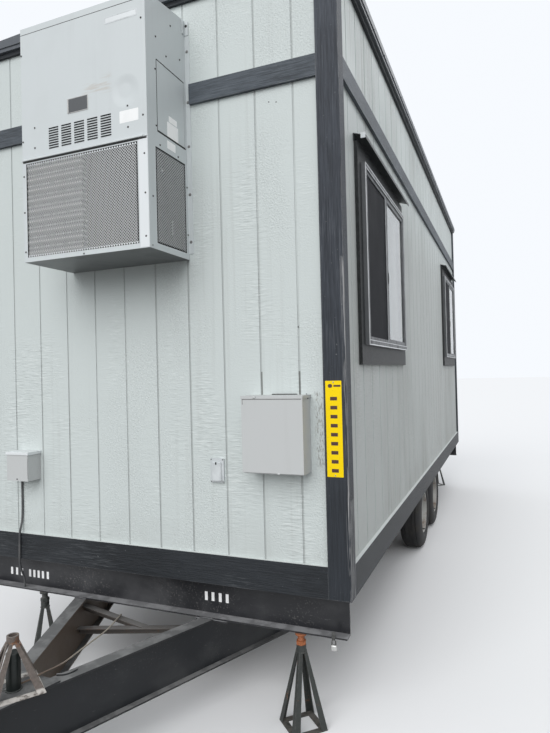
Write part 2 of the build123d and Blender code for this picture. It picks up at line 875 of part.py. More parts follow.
def rim_solid():
    """Drop-free barrel with bead lips, dished disc, hub with its cap, bolts and hand holes."""
    half = rim_width / 2
    lip = rim_radius + rim_lip
    inner = rim_radius - rim_sheet
    seat = half - rim_sheet - rim_lip_slope
    bore = spindle_radius + hub_clearance
    rim = turned([
        (inner, -half), (lip, -half), (lip, rim_sheet - half), (rim_radius, -seat),
        (rim_radius, seat), (lip, half - rim_sheet), (lip, half), (inner, half),
    ])
    rim += turned([
        (hub_radius - disc_lap, hub_face - disc_sheet), (hub_radius - disc_lap, hub_face),
        (disc_crest, hub_face + disc_dish), (rim_radius - disc_lap, disc_seat),
        (rim_radius - disc_lap, -disc_seat), (disc_crest, hub_face + disc_dish - disc_crest_sheet),
    ])
    rim += turned([
        (bore, -hub_length / 2), (hub_radius, -hub_length / 2), (hub_radius, hub_face),
        (hub_cap_radius, hub_face + hub_cap_step), (hub_cap_radius, hub_length / 2), (bore, hub_length / 2),
    ])
    for i in range(wheel_bolt_count):
        turn = Rot(0, 0, 360 / wheel_bolt_count * i)
        between = turn * Rot(0, 0, 180 / wheel_bolt_count)
        bolt_ends = (hub_face - disc_sheet, hub_face + wheel_bolt_reach)
        rim += turn * post(wheel_bolt_circle / 2, 0, *bolt_ends, wheel_bolt_radius)
        rim -= between * post(hand_hole_circle, 0, -hub_face, 2 * hub_face + disc_dish, hand_hole_radius)
    return rim


def tyre_solid():
    """Tyre section with two tread grooves, seated on the rim's beads."""
    half = tyre_width / 2
    seat = rim_width / 2 - rim_sheet - rim_lip_slope
    tread = half - tread_edge
    bead_r = rim_radius + bead_clearance
    bulge_r = rim_radius + tyre_bulge
    groove = tread_groove / 2
    side = [
        (tyre_radius, tread_groove_y - groove), (tyre_radius - tread_groove, tread_groove_y),
        (tyre_radius, tread_groove_y + groove), (tyre_radius, tread - tread_round),
        (tyre_radius - tread_drop, tread), (tyre_radius - tyre_shoulder, half - sidewall_draft),
        (bulge_r, half), (bead_r + rim_lip, seat + rim_lip_slope), (bead_r, seat - bead_step),
    ]
    return turned(side + [(r, -z) for r, z in reversed(side)])


def build_wheels():
    rim, tyre = rim_solid(), tyre_solid()
    for end, y in zip(("front", "rear"), axle_rows):
        for side, hand in ((1, "right"), (-1, "left")):
            place = Pos(side * wheel_x, y, tyre_radius) * Rot(0, 90 * side, 0)
            save(f"{end}_{hand}_rim", place * rim)
            save(f"{end}_{hand}_tyre", place * tyre)


# Jack stands
def jack_stand(height, half_diagonal):
    """Four angle-iron legs from a square foot frame up to a collar."""
    side = half_diagonal * sqrt(2)
    bar = stand_angle_thickness
    leg_top = height - stand_leg_end
    inner = side - 2 * stand_angle
    stand = Pos(0, 0, bar / 2) * (Box(side, side, bar) - Box(inner, inner, 2 * bar))
    lean = degrees(atan2(side / 2 - stand_leg_spread, leg_top))
    outline = Polyline(
        (side / 2, bar / 2), (side / 2 - stand_angle, bar / 2), (stand_leg_spread - stand_angle / 2, leg_top),
        (stand_leg_spread, leg_top), close=True,
    )
    leg = Pos(0, side / 2, bar / 2) * Rot(lean, 0, 0) * Pos(0, 0, -bar / 2) * extrude(
        Plane.XZ * make_face(outline), bar
    )
    for turn in range(4):
        stand += Rot(0, 0, 90 * turn) * leg
        stand += Rot(0, 0, 90 * turn) * mirrored(leg)
    return stand + post(0, 0, height - stand_collar_height, height, stand_collar_radius)


def screw_jack(height, top):
    """Stand with its lifting screw, nut and round head up to the frame."""
    nut_low = height + screw_nut_lift
    nut = RegularPolygon(screw_nut_radius, nut_sides)
    stand = jack_stand(height, stand_half_diagonal)
    stand += post(0, 0, height - past, top, screw_radius)
    stand += post(0, 0, top - screw_head_thickness, top, screw_head_radius)
    return stand + Pos(0, 0, nut_low) * extrude(nut, screw_nut_height)


def build_stands():
    rear_x = half_width - stand_rear_inset
    rear_y = body_length - stand_front_y
    front_right = (half_width - stand_front_inset, stand_front_y)
    places = [front_right, (-beam_x, stand_front_y), (rear_x, rear_y), (-rear_x, rear_y)]
    stand = Rot(0, 0, stand_turn) * screw_jack(frame_bottom - stand_drop, frame_bottom)
    save("jack_stands", *[Pos(x, y, 0) * stand for x, y in places])
    stowed = jack_stand(stowed_height, stowed_half_diagonal)
    collar_hole = screw_radius + screw_clearance
    stowed -= post(0, 0, stowed_height - 2 * stand_collar_height, stowed_height + past, collar_hole)
    plate_top = frame_bottom + hitch_plate_thickness
    save("stowed_stand", Pos(*stowed_center, plate_top) * Rot(0, 0, stowed_turn) * stowed)


# Hitch
def hitch_x(y, side):
    """Centre line of one hitch beam at a given Y."""
    return hitch_center_x + side * (hitch_half_at_wall + hitch_slope * y)


def build_hitch():
    length = (hitch_back_y - hitch_apex_y) * hypot(1, hitch_slope) + 2 * beam_spare
    frame = None
    for side in (-1, 1):
        beam = Pos(0, -beam_spare, 0) * i_beam(length, frame_depth, hitch_flange_width)
        apex = Pos(hitch_x(hitch_apex_y, side), hitch_apex_y, frame_bottom)
        beam = apex * Rot(0, 0, -side * hitch_turn) * beam
        reach = sorted((hitch_center_x, side * body_width))
        beam &= span((reach[0], hitch_apex_y, 0), (reach[1], hitch_back_y, frame_bottom))
        frame = beam if frame is None else frame + beam
    notch_low = frame_bottom - frame_depth - past
    frame -= post(*stowed_center, notch_low, frame_bottom + past, jack_tube_radius + jack_notch_gap)
    rod_z = frame_bottom + hook_rod_radius - hook_rod_sink
    frame += tube([(hitch_x(y, 1) + offset, y, rod_z) for offset, y in hook_rod_route], hook_rod_radius)
    save("hitch_beams", frame)
    build_hitch_bars(frame)
    build_coupler()
    build_tongue_jack()
    save("hitch_rope", tube(rope_route, rope_radius))


def angle_bar(start, end):
    """Equal angle between two points, one leg flat on top and the other hanging at the back."""
    run = Vector(*end) - Vector(*start)
    plane = Plane(origin=start, x_dir=run.cross(Vector(0, 0, -1)), z_dir=run)
    half = brace_leg / 2
    section = Pos(0, -brace_thickness / 2) * Rectangle(brace_leg, brace_thickness)
    section += Pos(half - brace_thickness / 2, -half) * Rectangle(brace_thickness, brace_leg)
    return extrude(plane * section, run.length)


def build_hitch_bars(frame):
    brace_top = frame_bottom - brace_drop
    left = (hitch_x(brace_left_y, -1), brace_left_y, brace_top)
    right = (hitch_x(brace_right_y, 1), brace_right_y, brace_top)
    strut_start = (hitch_x(strut_left_y, -1), strut_left_y, frame_bottom - strut_drop)
    share = (strut_end_x - left[0]) / (right[0] - left[0])
    strut_end = (strut_end_x, left[1] + share * (right[1] - left[1]), brace_top)
    bars = angle_bar(left, right) + angle_bar(strut_start, strut_end)
    bars -= frame
    save("hitch_cross_bars", bars.solids().sort_by(SortBy.VOLUME)[-1])


def build_coupler():
    """Top plate on the beams, with a tapered nose that widens round its ball socket and a latch on top."""
    x = hitch_center_x
    plate_half = hitch_half_at_wall + hitch_slope * hitch_plate_back_y + hitch_flange_width / 2
    plate = make_face(
        Polyline(
            (x - plate_half, hitch_plate_back_y),
            (x + plate_half, hitch_plate_back_y),
            (x + hitch_plate_front_half, hitch_plate_front_y),
            (x - hitch_plate_front_half, hitch_plate_front_y),
            close=True,
        )
    )
    plate = Pos(0, 0, frame_bottom) * extrude(plate, hitch_plate_thickness)
    plate_top = frame_bottom + hitch_plate_thickness
    plate -= post(*stowed_center, frame_bottom - past, plate_top + past, jack_tube_radius + jack_plate_gap)
    outline = make_face(
        Polyline(
            (x - coupler_back_half, hitch_apex_y), (x + coupler_back_half, hitch_apex_y),
            (x + coupler_housing_radius, coupler_ball_y), (x - coupler_housing_radius, coupler_ball_y),
            close=True,
        )
    )
    outline += Pos(x, coupler_ball_y) * Circle(coupler_housing_radius)
    nose = Pos(0, 0, frame_bottom - coupler_depth) * extrude(outline, coupler_depth)
    top_edges = nose.faces().sort_by(Axis.Z)[-1].edges().sort_by(Axis.Y)
    nose = fillet(top_edges[:-1], coupler_round)
    socket_low = frame_bottom - coupler_depth - past
    nose -= post(x, coupler_ball_y, socket_low, frame_bottom - coupler_roof, coupler_ball_radius)
    latch_y = coupler_ball_y + latch_start
    nose += span(
        (x - latch_half_width, latch_y, frame_bottom - past),
        (x + latch_half_width, latch_y + latch_length, frame_bottom + latch_height),
    )
    save("hitch_coupler", nose + plate)


def build_tongue_jack():
    jack = post(*stowed_center, jack_tube_bottom, jack_tube_top, jack_tube_radius)
    jack = fillet(jack.edges().sort_by(Axis.Z)[-1], jack_cap_round)
    jack += post(*stowed_center, jack_foot_bottom, jack_tube_bottom, jack_foot_radius)
    jack += post(*stowed_center, jack_foot_bottom, jack_foot_bottom + plate_thickness, jack_pad_radius)
    save("tongue_jack", jack)


# Air conditioner
def build_unit():
    front = -unit_depth
    grille_low = unit_bottom + front_border_low
    grille_high = unit_seam - front_border_high
    lid = make_face(
        Polyline(
            (front, unit_top), (front, unit_top + lid_front_height), (0, unit_top + lid_back_height),
            (0, unit_top), close=True,
        )
    )
    cabinet = span((unit_left, front, unit_bottom), (unit_right, 0, unit_top))
    cabinet += Pos(unit_left, 0, 0) * extrude(Plane.YZ * lid, unit_width)
    cabinet -= span(
        (unit_left + unit_sheet, front + unit_sheet, unit_bottom + unit_sheet),
        (unit_right - unit_sheet, -unit_sheet, unit_seam - unit_sheet),
    )
    cabinet -= span(
        (unit_left + front_border_left, front - past, grille_low),
        (unit_right - front_border_right, front + unit_sheet + past, grille_high),
    )
    side_y = (front + side_border_front, -side_border_back)
    side_z = (unit_bottom + side_border_low, unit_seam - side_border_high)
    cabinet -= span((unit_left - past, side_y[0], side_z[0]), (unit_right + past, side_y[1], side_z[1]))
    cabinet += span(
        (unit_left - unit_flange, -unit_flange_thickness, unit_bottom + unit_flange_lift),
        (unit_right + unit_flange, 0, unit_top),
    )
    cabinet += unit_edges(front)
    cabinet -= unit_louvres(front)
    cabinet -= unit_hatch_groove()
    shroud_y = front + coil_setback + coil_depth
    cabinet += span(
        (unit_left + front_border_left + coil_width, shroud_y, unit_bottom + unit_sheet - past),
        (unit_right - unit_sheet + past, shroud_y + unit_sheet, unit_seam - unit_sheet + past),
    )
    save("unit_cabinet", cabinet)
    save_unit_grilles(front, (grille_low, grille_high), side_y, side_z)
    save_unit_coil(front, (grille_low, grille_high))


def unit_edges(front):
    """Drip lip over the front grille, pan edges at the bottom, and the front panel's wrapped corners."""
    lip = make_face(
        Polyline(
            (front + past, unit_seam), (front - drip_reach, unit_seam - drip_height),
            (front - drip_reach, unit_seam), (front + past, unit_seam + drip_height), close=True,
        )
    )
    edges = Pos(unit_left, 0, 0) * extrude(Plane.YZ * lip, unit_width - drip_end)
    pan = span(
        (unit_left - pan_proud, front + corner_wrap, unit_bottom),
        (unit_right + pan_proud, -unit_flange_thickness, unit_bottom + pan_height),
    )
    pan -= span(
        (unit_left + past, front, unit_bottom - past), (unit_right - past, 0, unit_bottom + pan_height + past)
    )
    wrap = span(
        (unit_left - corner_proud, front, unit_bottom),
        (unit_right + corner_proud, front + corner_wrap, unit_seam),
    )
    wrap -= span(
        (unit_left + past, front - past, unit_bottom - past), (unit_right - past, 0, unit_seam + past)
    )
    return edges + pan + wrap


def unit_louvres(front):
    """Rows and columns of slots in the upper front panel."""
    slots = []
    for column in range(louvre_columns):
        for row in range(louvre_rows):
            x = unit_left + louvre_left + column * louvre_pitch_x
            z = unit_seam + louvre_low + row * louvre_pitch_z
            far_corner = (x + louvre_width, front + louvre_depth, z + louvre_height)
            slots.append(span((x, front - past, z), far_corner))
    return slots


def unit_hatch_groove():
    """Gap round the service hatch in the right-hand side."""
    hatch_z = (unit_bottom + hatch_low_rise, unit_bottom + hatch_low_rise + hatch_height)
    return side_ring((unit_right - hatch_groove, unit_right + past), hatch_y, hatch_z, hatch_groove)


def save_unit_grilles(front, grille_z, side_y, side_z):
    """Flat sheets in the front opening and the two side openings."""
    sheet_y = front + grille_setback
    front_grille = span(
        (unit_left + front_border_left, sheet_y, grille_z[0]),
        (unit_right - front_border_right, sheet_y + grille_sheet, grille_z[1]),
    )
    sides = []
    for edge, inward in ((unit_right, -1), (unit_left, 1)):
        xs = sorted((edge + inward * grille_setback, edge + inward * (grille_setback + grille_sheet)))
        sides.append(span((xs[0], side_y[0], side_z[0]), (xs[1], side_y[1], side_z[1])))
    save("unit_grille", front_grille, *sides)


def save_unit_coil(front, grille_z):
    """Finned coil behind the left part of the front grille, with its rows of tubes in front."""
    x_low = unit_left + unit_sheet
    x_high = unit_left + front_border_left + coil_width
    face_y = front + coil_setback
    coil = span(
        (x_low, face_y, unit_bottom + unit_sheet), (x_high, face_y + coil_depth, unit_seam - unit_sheet)
    )
    pitch = (grille_z[1] - grille_z[0]) / coil_tube_count
    for i in range(coil_tube_count):
        z = grille_z[0] + (i + 0.5) * pitch
        tube_bar = Rot(0, 90, 0) * Cylinder(coil_tube_radius, x_high - x_low)
        coil += Pos((x_low + x_high) / 2, face_y, z) * tube_bar
    save("unit_coil", coil)


# Electrical fittings
def build_fittings():
    panel_low = floor_top + panel_rise
    panel_high = panel_low + panel_height
    hood_low = panel_high - panel_hood_lap
    lid_y = panel_lid - panel_depth
    box = span((panel_left, lid_y, panel_low), (panel_right, 0, hood_low))
    lid = span(
        (panel_left - panel_lid_lip, -panel_depth, panel_low + panel_lid_lift),
        (panel_right + panel_lid_lip, lid_y, panel_high),
    )
    hood = span(
        (panel_left - panel_hood_lip, -panel_depth - panel_hood_drip, hood_low),
        (panel_right + panel_hood_lip, 0, hood_low + panel_hood),
    )
    save("electrical_panel", box + lid + hood)
    outlet_low = floor_top + outlet_rise
    outlet_high = outlet_low + outlet_height
    cover = span((outlet_left, -outlet_base, outlet_low), (outlet_right, 0, outlet_high))
    cover = fillet(cover.edges().filter_by(Axis.Y), outlet_round)
    save("outlet_cover", cover + outlet_lid(outlet_low, outlet_high))
    junction_low = floor_top + junction_rise
    junction_high = junction_low + junction_height
    junction = span((junction_left, -junction_depth, junction_low), (junction_right, 0, junction_high))
    junction += span(
        (junction_left - junction_lid_lip, -junction_depth, junction_high - junction_lid),
        (junction_right + junction_lid_lip, 0, junction_high + junction_lid_lip),
    )
    save("junction_box", junction)
    build_cable(junction_low)


def outlet_lid(low, high):
    """Bulging lid over the socket, with its hinge barrel along the top."""
    lid = span(
        (outlet_left + outlet_border, -outlet_depth, low + outlet_border),
        (outlet_right - outlet_border, past - outlet_base, high - outlet_hinge_drop),
    )
    lid = fillet(lid.edges().filter_by(Axis.Z).sort_by(Axis.Y)[:2], outlet_lid_round)
    hinge = Rot(0, 90, 0) * Cylinder(outlet_hinge_radius, outlet_hinge_length)
    return lid + Pos((outlet_left + outlet_right) / 2, -outlet_base, high - outlet_hinge_drop) * hinge


def round_path(points):
    """Straight runs joined by arcs, each as large as its two runs allow."""
    corners = [Vector(*p) for p in points]
    runs = [b - a for a, b in zip(corners, corners[1:])]
    radii = []
    for before, after in zip(runs, runs[1:]):
        half_turn = radians(before.get_angle(after) / 2)
        radii.append(bend_share * min(before.length, after.length) / tan(half_turn))
    return FilletPolyline(*corners, radius=radii), radii


def tube(points, radius):
    """Round tube along the rounded path."""
    path, radii = round_path(points)
    section = Plane(origin=path @ 0, z_dir=path % 0) * Circle(radius)
    solid = sweep(section, path=path)
    print("radii", [round(r) for r in radii], "length", round(path.length))
    return solid


def build_cable(start_z):
    """Cable from the junction box down the wall, over the bottom band and onto the header's flange."""
    wall_y = -cable_radius - cable_wall_gap
    band_y = wall_y - trim_thickness
    band_top = trim_bottom + bottom_band_height
    flange_top = frame_bottom + plate_thickness
    foot_drift, foot_rise = cable_foot
    route = [(cable_x, wall_y, start_z)]
    route += [(cable_x - drift, wall_y - out, band_top + rise) for drift, out, rise in cable_above_band]
    route += [(cable_x - drift, band_y - out, band_top + rise) for drift, out, rise in cable_on_band]
    route += [(cable_x - drift, band_y - out, trim_bottom + rise) for drift, out, rise in cable_below_band]
    route.append((cable_x - foot_drift, cable_landing_y, flange_top + foot_rise))
    route.append((cable_x - foot_drift, cable_landing_y, flange_top))
    save("junction_cable", tube(route, cable_radius))


def main():
    os.makedirs("parts", exist_ok=True)
    build_walls()
    build_siding()
    build_floor()
    build_roof()
    build_trim()
    build_windows()
    build_door()
    build_chassis()
    build_axles()
    build_wheels()
    build_stands()
    build_hitch()
    build_unit()
    build_fittings()


main()
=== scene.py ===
"""Dressed look of a portable site cabin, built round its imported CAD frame.

Metres, in the frame of the CAD: +Y runs from the hitch to the rear end, +X is the side without the door,
+Z is up and the ground is at zero. Sizes of small fittings are given in millimetres.
"""

import logging
import math
from dataclasses import dataclass
from enum import Enum
from typing import Callable, Optional, Sequence

import bmesh
import bpy
import numpy as np
from mathutils import Matrix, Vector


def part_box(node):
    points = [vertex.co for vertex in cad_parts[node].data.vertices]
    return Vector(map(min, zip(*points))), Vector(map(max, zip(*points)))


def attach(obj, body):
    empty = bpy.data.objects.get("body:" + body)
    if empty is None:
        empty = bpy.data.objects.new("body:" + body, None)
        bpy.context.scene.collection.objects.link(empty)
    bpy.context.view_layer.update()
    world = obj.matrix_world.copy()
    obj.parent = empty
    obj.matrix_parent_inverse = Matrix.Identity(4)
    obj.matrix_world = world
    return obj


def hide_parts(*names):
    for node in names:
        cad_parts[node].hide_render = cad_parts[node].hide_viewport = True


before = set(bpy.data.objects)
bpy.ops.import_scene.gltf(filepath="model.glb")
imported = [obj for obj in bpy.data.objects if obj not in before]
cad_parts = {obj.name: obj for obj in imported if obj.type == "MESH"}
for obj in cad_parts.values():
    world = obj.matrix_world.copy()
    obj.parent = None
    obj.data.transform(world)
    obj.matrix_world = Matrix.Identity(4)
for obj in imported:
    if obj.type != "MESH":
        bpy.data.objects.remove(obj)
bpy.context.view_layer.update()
LOG = logging.getLogger("cabin")
Array = np.ndarray
Triple = tuple[float, float, float]
Box = tuple[Triple, Triple]
Socket = bpy.types.NodeSocket
Sockets = bpy.types.NodeOutputs
Wired = dict[str, object]
MM = 0.001
FRONT_Y = float(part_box("siding")[0][1])
RIGHT, BACK, UP = np.eye(3)
LEFT, FORE, DOWN = -np.eye(3)


def at(x: float, y: float, z: float) -> Array:
    """Point in metres from millimetres, with Y counted back from the front siding face."""
    return np.array((x * MM, FRONT_Y + y * MM, z * MM))


def corners(node: str) -> tuple[Array, Array]:
    """Lowest and highest corner of a CAD node, as arrays."""
    low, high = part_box(node)
    return np.array(low), np.array(high)


def shade(color: Triple, factor: float) -> Triple:
    """Colour made darker or lighter by a factor."""
    return tuple(factor * c for c in color)


@dataclass
class Surface:
    """Points of shape (n, 3) in metres, and one array of vertex numbers per kind of face."""

    points: Array
    faces: list[Array]


def joined(surfaces: Sequence[Surface]) -> Surface:
    """One surface from several, each one's vertex numbers moved on by the points before it."""
    starts = np.cumsum([0] + [len(part.points) for part in surfaces])
    faces = [f + start for part, start in zip(surfaces, starts) for f in part.faces]
    return Surface(np.concatenate([part.points for part in surfaces]), faces)


def grid_faces(rows: int, columns: int, ring_rows: bool = False, ring_columns: bool = False) -> Array:
    """Quads of a grid of points, whose normal is the column direction crossed with the row direction.

    Args:
        rows: Number of rows of points.
        columns: Number of points in a row.
        ring_rows: The last row joins the first.
        ring_columns: The last point of a row joins its first.

    Returns:
        Array of shape (quads, 4).
    """
    r = np.arange(rows if ring_rows else rows - 1)[:, None]
    c = np.arange(columns if ring_columns else columns - 1)[None, :]
    low, high = r * columns, (r + 1) % rows * columns
    after = (c + 1) % columns
    return np.stack([low + c, low + after, high + after, high + c], -1).reshape(-1, 4)


def rings_surface(points: Array) -> Surface:
    """Closed surface through a stack of rings, each anticlockwise seen from the last one's side."""
    rings, count = points.shape[:2]
    ring = np.arange(count)
    ends = [ring[::-1][None, :], (ring + (rings - 1) * count)[None, :]]
    return Surface(points.reshape(-1, 3), [grid_faces(rings, count, ring_columns=True), *ends])


def rounded_outline(width: float, height: float, radius: float, steps: int = 4) -> Array:
    """Rectangle with quarter-circle corners: corner centre plus radius times (cos, sin), anticlockwise."""
    angles = np.radians(np.arange(4)[:, None] * 90 + np.linspace(0, 90, steps + 1)[None, :])
    cx = np.array([1, -1, -1, 1])[:, None] * (width / 2 - radius)
    cy = np.array([1, 1, -1, -1])[:, None] * (height / 2 - radius)
    return np.stack([cx + radius * np.cos(angles), cy + radius * np.sin(angles)], -1).reshape(-1, 2)


def plate(
    center: Array, across: Array, up: Array, size: Sequence[float], thickness: float,
    radius: float = 1.0, edge: float = 0.5,
) -> Surface:
    """Slab with rounded corners and a rounded front edge, standing on a face.

    Rings of the same outline rise from the face: two straight up, then some that go in and up by the cosine
    and sine of an angle from 0 to 90 degrees times the edge's radius.

    Args:
        center: Middle of the slab's back face.
        across: Direction of its width.
        up: Direction of its height; across crossed with up points outwards.
        size: Width and height in mm.
        thickness: Thickness in mm.
        radius: Corner radius in mm.
        edge: Radius of the front edge in mm.

    Returns:
        The closed slab.
    """
    angle = np.radians([0, 30, 60, 90])
    inset = np.concatenate([[0], edge * (1 - np.cos(angle))])
    rise = np.concatenate([[0], thickness - edge + edge * np.sin(angle)])
    width, height = size
    outline = MM * np.stack([
        rounded_outline(width - 2 * i, height - 2 * i, max(radius - i, 0.05)) for i in inset
    ])
    out = np.cross(across, up)
    points = center + outline[..., :1] * across + outline[..., 1:] * up + rise[:, None, None] * MM * out
    return rings_surface(points)


def slabs(across: Array, *rows: Sequence[float]) -> list[Surface]:
    """Upright slabs, one per row of X, Y, Z, width, height, thickness, corner and edge radius in mm."""
    return [plate(at(*row[:3]), across, UP, row[3:5], *row[5:]) for row in rows]


def block(low: Array, high: Array, radius: float) -> Surface:
    """Box between two corners with its upper edges rounded, as a slab that rises along Z."""
    middle = np.array([(low[0] + high[0]) / 2, (low[1] + high[1]) / 2, low[2]])
    width, depth, height = (high - low) / MM
    return plate(middle, RIGHT, BACK, (width, depth), height, radius, radius)


def circle(count: int, first: Array, second: Array) -> Array:
    """Points round a circle of radius one: cosine along the first direction, sine along the second."""
    angle = np.linspace(0, 2 * np.pi, count, endpoint=False)[:, None]
    return np.cos(angle) * first[..., None, :] + np.sin(angle) * second[..., None, :]


def turned(center: Array, axis: Array, profile: Sequence[tuple[float, float]], sides: int = 24) -> Surface:
    """Profile of (radius, height) pairs in mm carried round an axis: centre + height + radius (cos, sin)."""
    first = np.cross(axis, UP if abs(axis[2]) < 0.9 else RIGHT)
    first = first / np.linalg.norm(first)
    rows = np.array(profile)[:, None] * MM
    spoke = circle(sides, first, np.cross(axis, first))
    return rings_surface(center + rows[..., :1] * spoke + rows[..., 1:] * axis)


def tube(path: Array, radius: float | Array, sides: int = 10, reference: Array = UP) -> Surface:
    """Closed tube: a circle carried along a path, in the plane across the path at each point.

    Args:
        path: Points of shape (n, 3), in metres.
        radius: Radius in mm, one number or one per point.
        sides: Points round the circle.
        reference: Direction that the path never follows; it sets where each circle starts.

    Returns:
        The closed tube.
    """
    along = np.gradient(path, axis=0)
    along /= np.linalg.norm(along, axis=1, keepdims=True)
    first = reference - (along @ reference)[:, None] * along
    first /= np.linalg.norm(first, axis=1, keepdims=True)
    reach = np.broadcast_to(np.asarray(radius, float) * MM, (len(path),))[:, None, None]
    return rings_surface(path[:, None] + reach * circle(sides, first, np.cross(along, first)))


def repeated(shape: Surface, centers: Sequence[Array], across: Array, up: Array = UP) -> Surface:
    """Copies of one shape, one per centre, its own X, Y and Z along across, up and their cross product."""
    turn = np.stack([across, up, np.cross(across, up)])
    points = np.array(centers)[:, None] + (shape.points @ turn)[None]
    offsets = np.arange(len(centers))[:, None, None] * len(shape.points)
    return Surface(points.reshape(-1, 3), [(f[None] + offsets).reshape(-1, f.shape[1]) for f in shape.faces])


def screw_heads(centers: Sequence[Array], across: Array, size: float, up: Array = UP) -> Surface:
    """Hexagon heads on round washers, each a stack of rings round its axis; size is the washer's in mm."""
    washer = turned(np.zeros(3), UP, [(size / 2, 0), (size / 2, 0.7), (size * 0.36, 1.3)], 12)
    head = turned(np.zeros(3), UP, [(size * 0.31, 1.0), (size * 0.31, 3.4), (size * 0.24, 4.1)], 6)
    return repeated(joined([washer, head]), centers, across, up)


def shown(
    name: str, data: bpy.types.ID, place: Sequence[float] = (0, 0, 0), axes: Array = np.eye(3),
) -> bpy.types.Object:
    """New object in the scene, at a place, with its own X, Y and Z along three axes."""
    obj = bpy.data.objects.new(name, data)
    obj.matrix_world = Matrix.Translation(place) @ Matrix(np.column_stack(axes).tolist()).to_4x4()
    bpy.context.scene.collection.objects.link(obj)
    return obj


class Nodes:
    """Adds nodes to one tree and links them."""

    def __init__(self, tree: bpy.types.NodeTree) -> None:
        """Keeps the tree."""
        self.tree = tree

    def add(self, kind: str, **settings: object) -> bpy.types.Node:
        """New node of a kind, with its own settings."""
        node = self.tree.nodes.new("ShaderNode" + kind)
        for key, value in settings.items():
            setattr(node, key, value)
        return node

    def feed(self, socket: Socket, value: object) -> None:
        """Links a socket to another one, or writes a plain value into it."""
        if isinstance(value, Socket):
            self.tree.links.new(value, socket)
        elif hasattr(value, "__len__") and socket.type == "RGBA":
            socket.default_value = (*value[:3], 1.0)
        else:
            socket.default_value = value

    def fed(self, node: bpy.types.Node, inputs: dict[int | str, object]) -> Sockets:
        """Outputs of a node once its inputs have been given their values."""
        for key, value in inputs.items():
            self.feed(node.inputs[key], value)
        return node.outputs

    def coords(self) -> Socket:
        """Object coordinates."""
        return self.add("TexCoord").outputs["Object"]

    def direction(self) -> Socket:
        """Direction that the surface looks in."""
        return self.add("NewGeometry").outputs["Normal"]

    def split(self, vector: object) -> Sockets:
        """The three numbers of a vector."""
        return self.fed(self.add("SeparateXYZ"), {0: vector})

    def axis(self, index: int) -> Socket:
        """Object coordinate along X, Y or Z."""
        return self.split(self.coords())[index]

    def facing(self, index: int) -> Socket:
        """Share of the surface's direction along X, Y or Z."""
        return self.split(self.direction())[index]

    def math(self, operation: str, first: object, second: object = 0.0) -> Socket:
        """Result of one sum on one or two values."""
        return self.fed(self.add("Math", operation=operation), {0: first, 1: second})[0]

    def times(self, *values: object) -> object:
        """Product of some values."""
        product = values[0]
        for value in values[1:]:
            product = self.math("MULTIPLY", product, value)
        return product

    def plus(self, first: object, second: object) -> Socket:
        """Sum of two values."""
        return self.math("ADD", first, second)

    def rest(self, value: object) -> Socket:
        """What is left of one when a value is taken from it."""
        return self.math("SUBTRACT", 1.0, value)

    def size(self, value: object) -> Socket:
        """Value without its sign."""
        return self.math("ABSOLUTE", value)

    def humps(self, value: object, pitch: float) -> Socket:
        """Row of humps from 0 to 1, the size of a sine, one for each pitch of the value."""
        return self.size(self.math("SINE", self.times(value, math.pi / pitch)))

    def vector(self, operation: str, first: object, second: object = (0.0, 0.0, 0.0)) -> Sockets:
        """Outputs of a sum on vectors: the vector first, and its measure under Value."""
        return self.fed(self.add("VectorMath", operation=operation), {0: first, 1: second})

    def noise(self, scale: object, detail: float = 2.0, rough: float = 0.5, stretch: object = None) -> Socket:
        """Smooth noise from 0 to 1 at the object coordinates, which are multiplied by any given stretch."""
        place = self.coords() if stretch is None else self.vector("MULTIPLY", self.coords(), stretch)[0]
        inputs = {"Vector": place, "Scale": scale, "Detail": detail, "Roughness": rough}
        return self.fed(self.add("TexNoise"), inputs)["Fac"]

    def ramp(self, value: object, low: object, high: object, to: object = 1.0) -> Socket:
        """Zero below low, the given number above high, and a smooth step between them."""
        node = self.add("MapRange", interpolation_type="SMOOTHSTEP")
        return self.fed(node, {"Value": value, "From Min": low, "From Max": high, "To Max": to})[0]

    def mix(self, mask: object, first: object, second: object) -> Socket:
        """First colour turning into the second as the mask goes from 0 to 1."""
        node = self.add("Mix", data_type="RGBA", blend_type="MIX", clamp_factor=True)
        return self.fed(node, {0: mask, 6: first, 7: second})[2]

    def blend(self, mask: object, first: object, second: object) -> Socket:
        """First number turning into the second as the mask goes from 0 to 1."""
        node = self.add("Mix", data_type="FLOAT", clamp_factor=True)
        return self.fed(node, {0: mask, 2: first, 3: second})[0]

    def coats(self, color: object, *coats: Sequence[object]) -> object:
        """Colour with coats laid over it; each is some masks or shares to multiply, and last a colour."""
        for *masks, coat in coats:
            color = self.mix(self.times(*masks), color, coat)
        return color

    def seen(self) -> Socket:
        """One for a ray that shows the surface to the camera, nothing for one that only gathers light."""
        path = self.add("LightPath").outputs
        mirrored = self.math("MAXIMUM", path["Is Camera Ray"], path["Is Glossy Ray"])
        return self.math("MAXIMUM", mirrored, path["Is Transmission Ray"])


class Effect(Enum):
    """Shader node groups that several finishes share."""

    RIPPLE = "board_ripple"
    GRAIN = "sawn_grain"
    STAIN = "soft_stain"
    EDGE = "edge_wear"
    DUST = "settled_dust"
    RUST = "rust_bloom"
    DRIPS = "rain_streaks"
    SPLASH = "road_splash"
    INSET = "depth_behind_faces"
    ZONE = "soft_box"


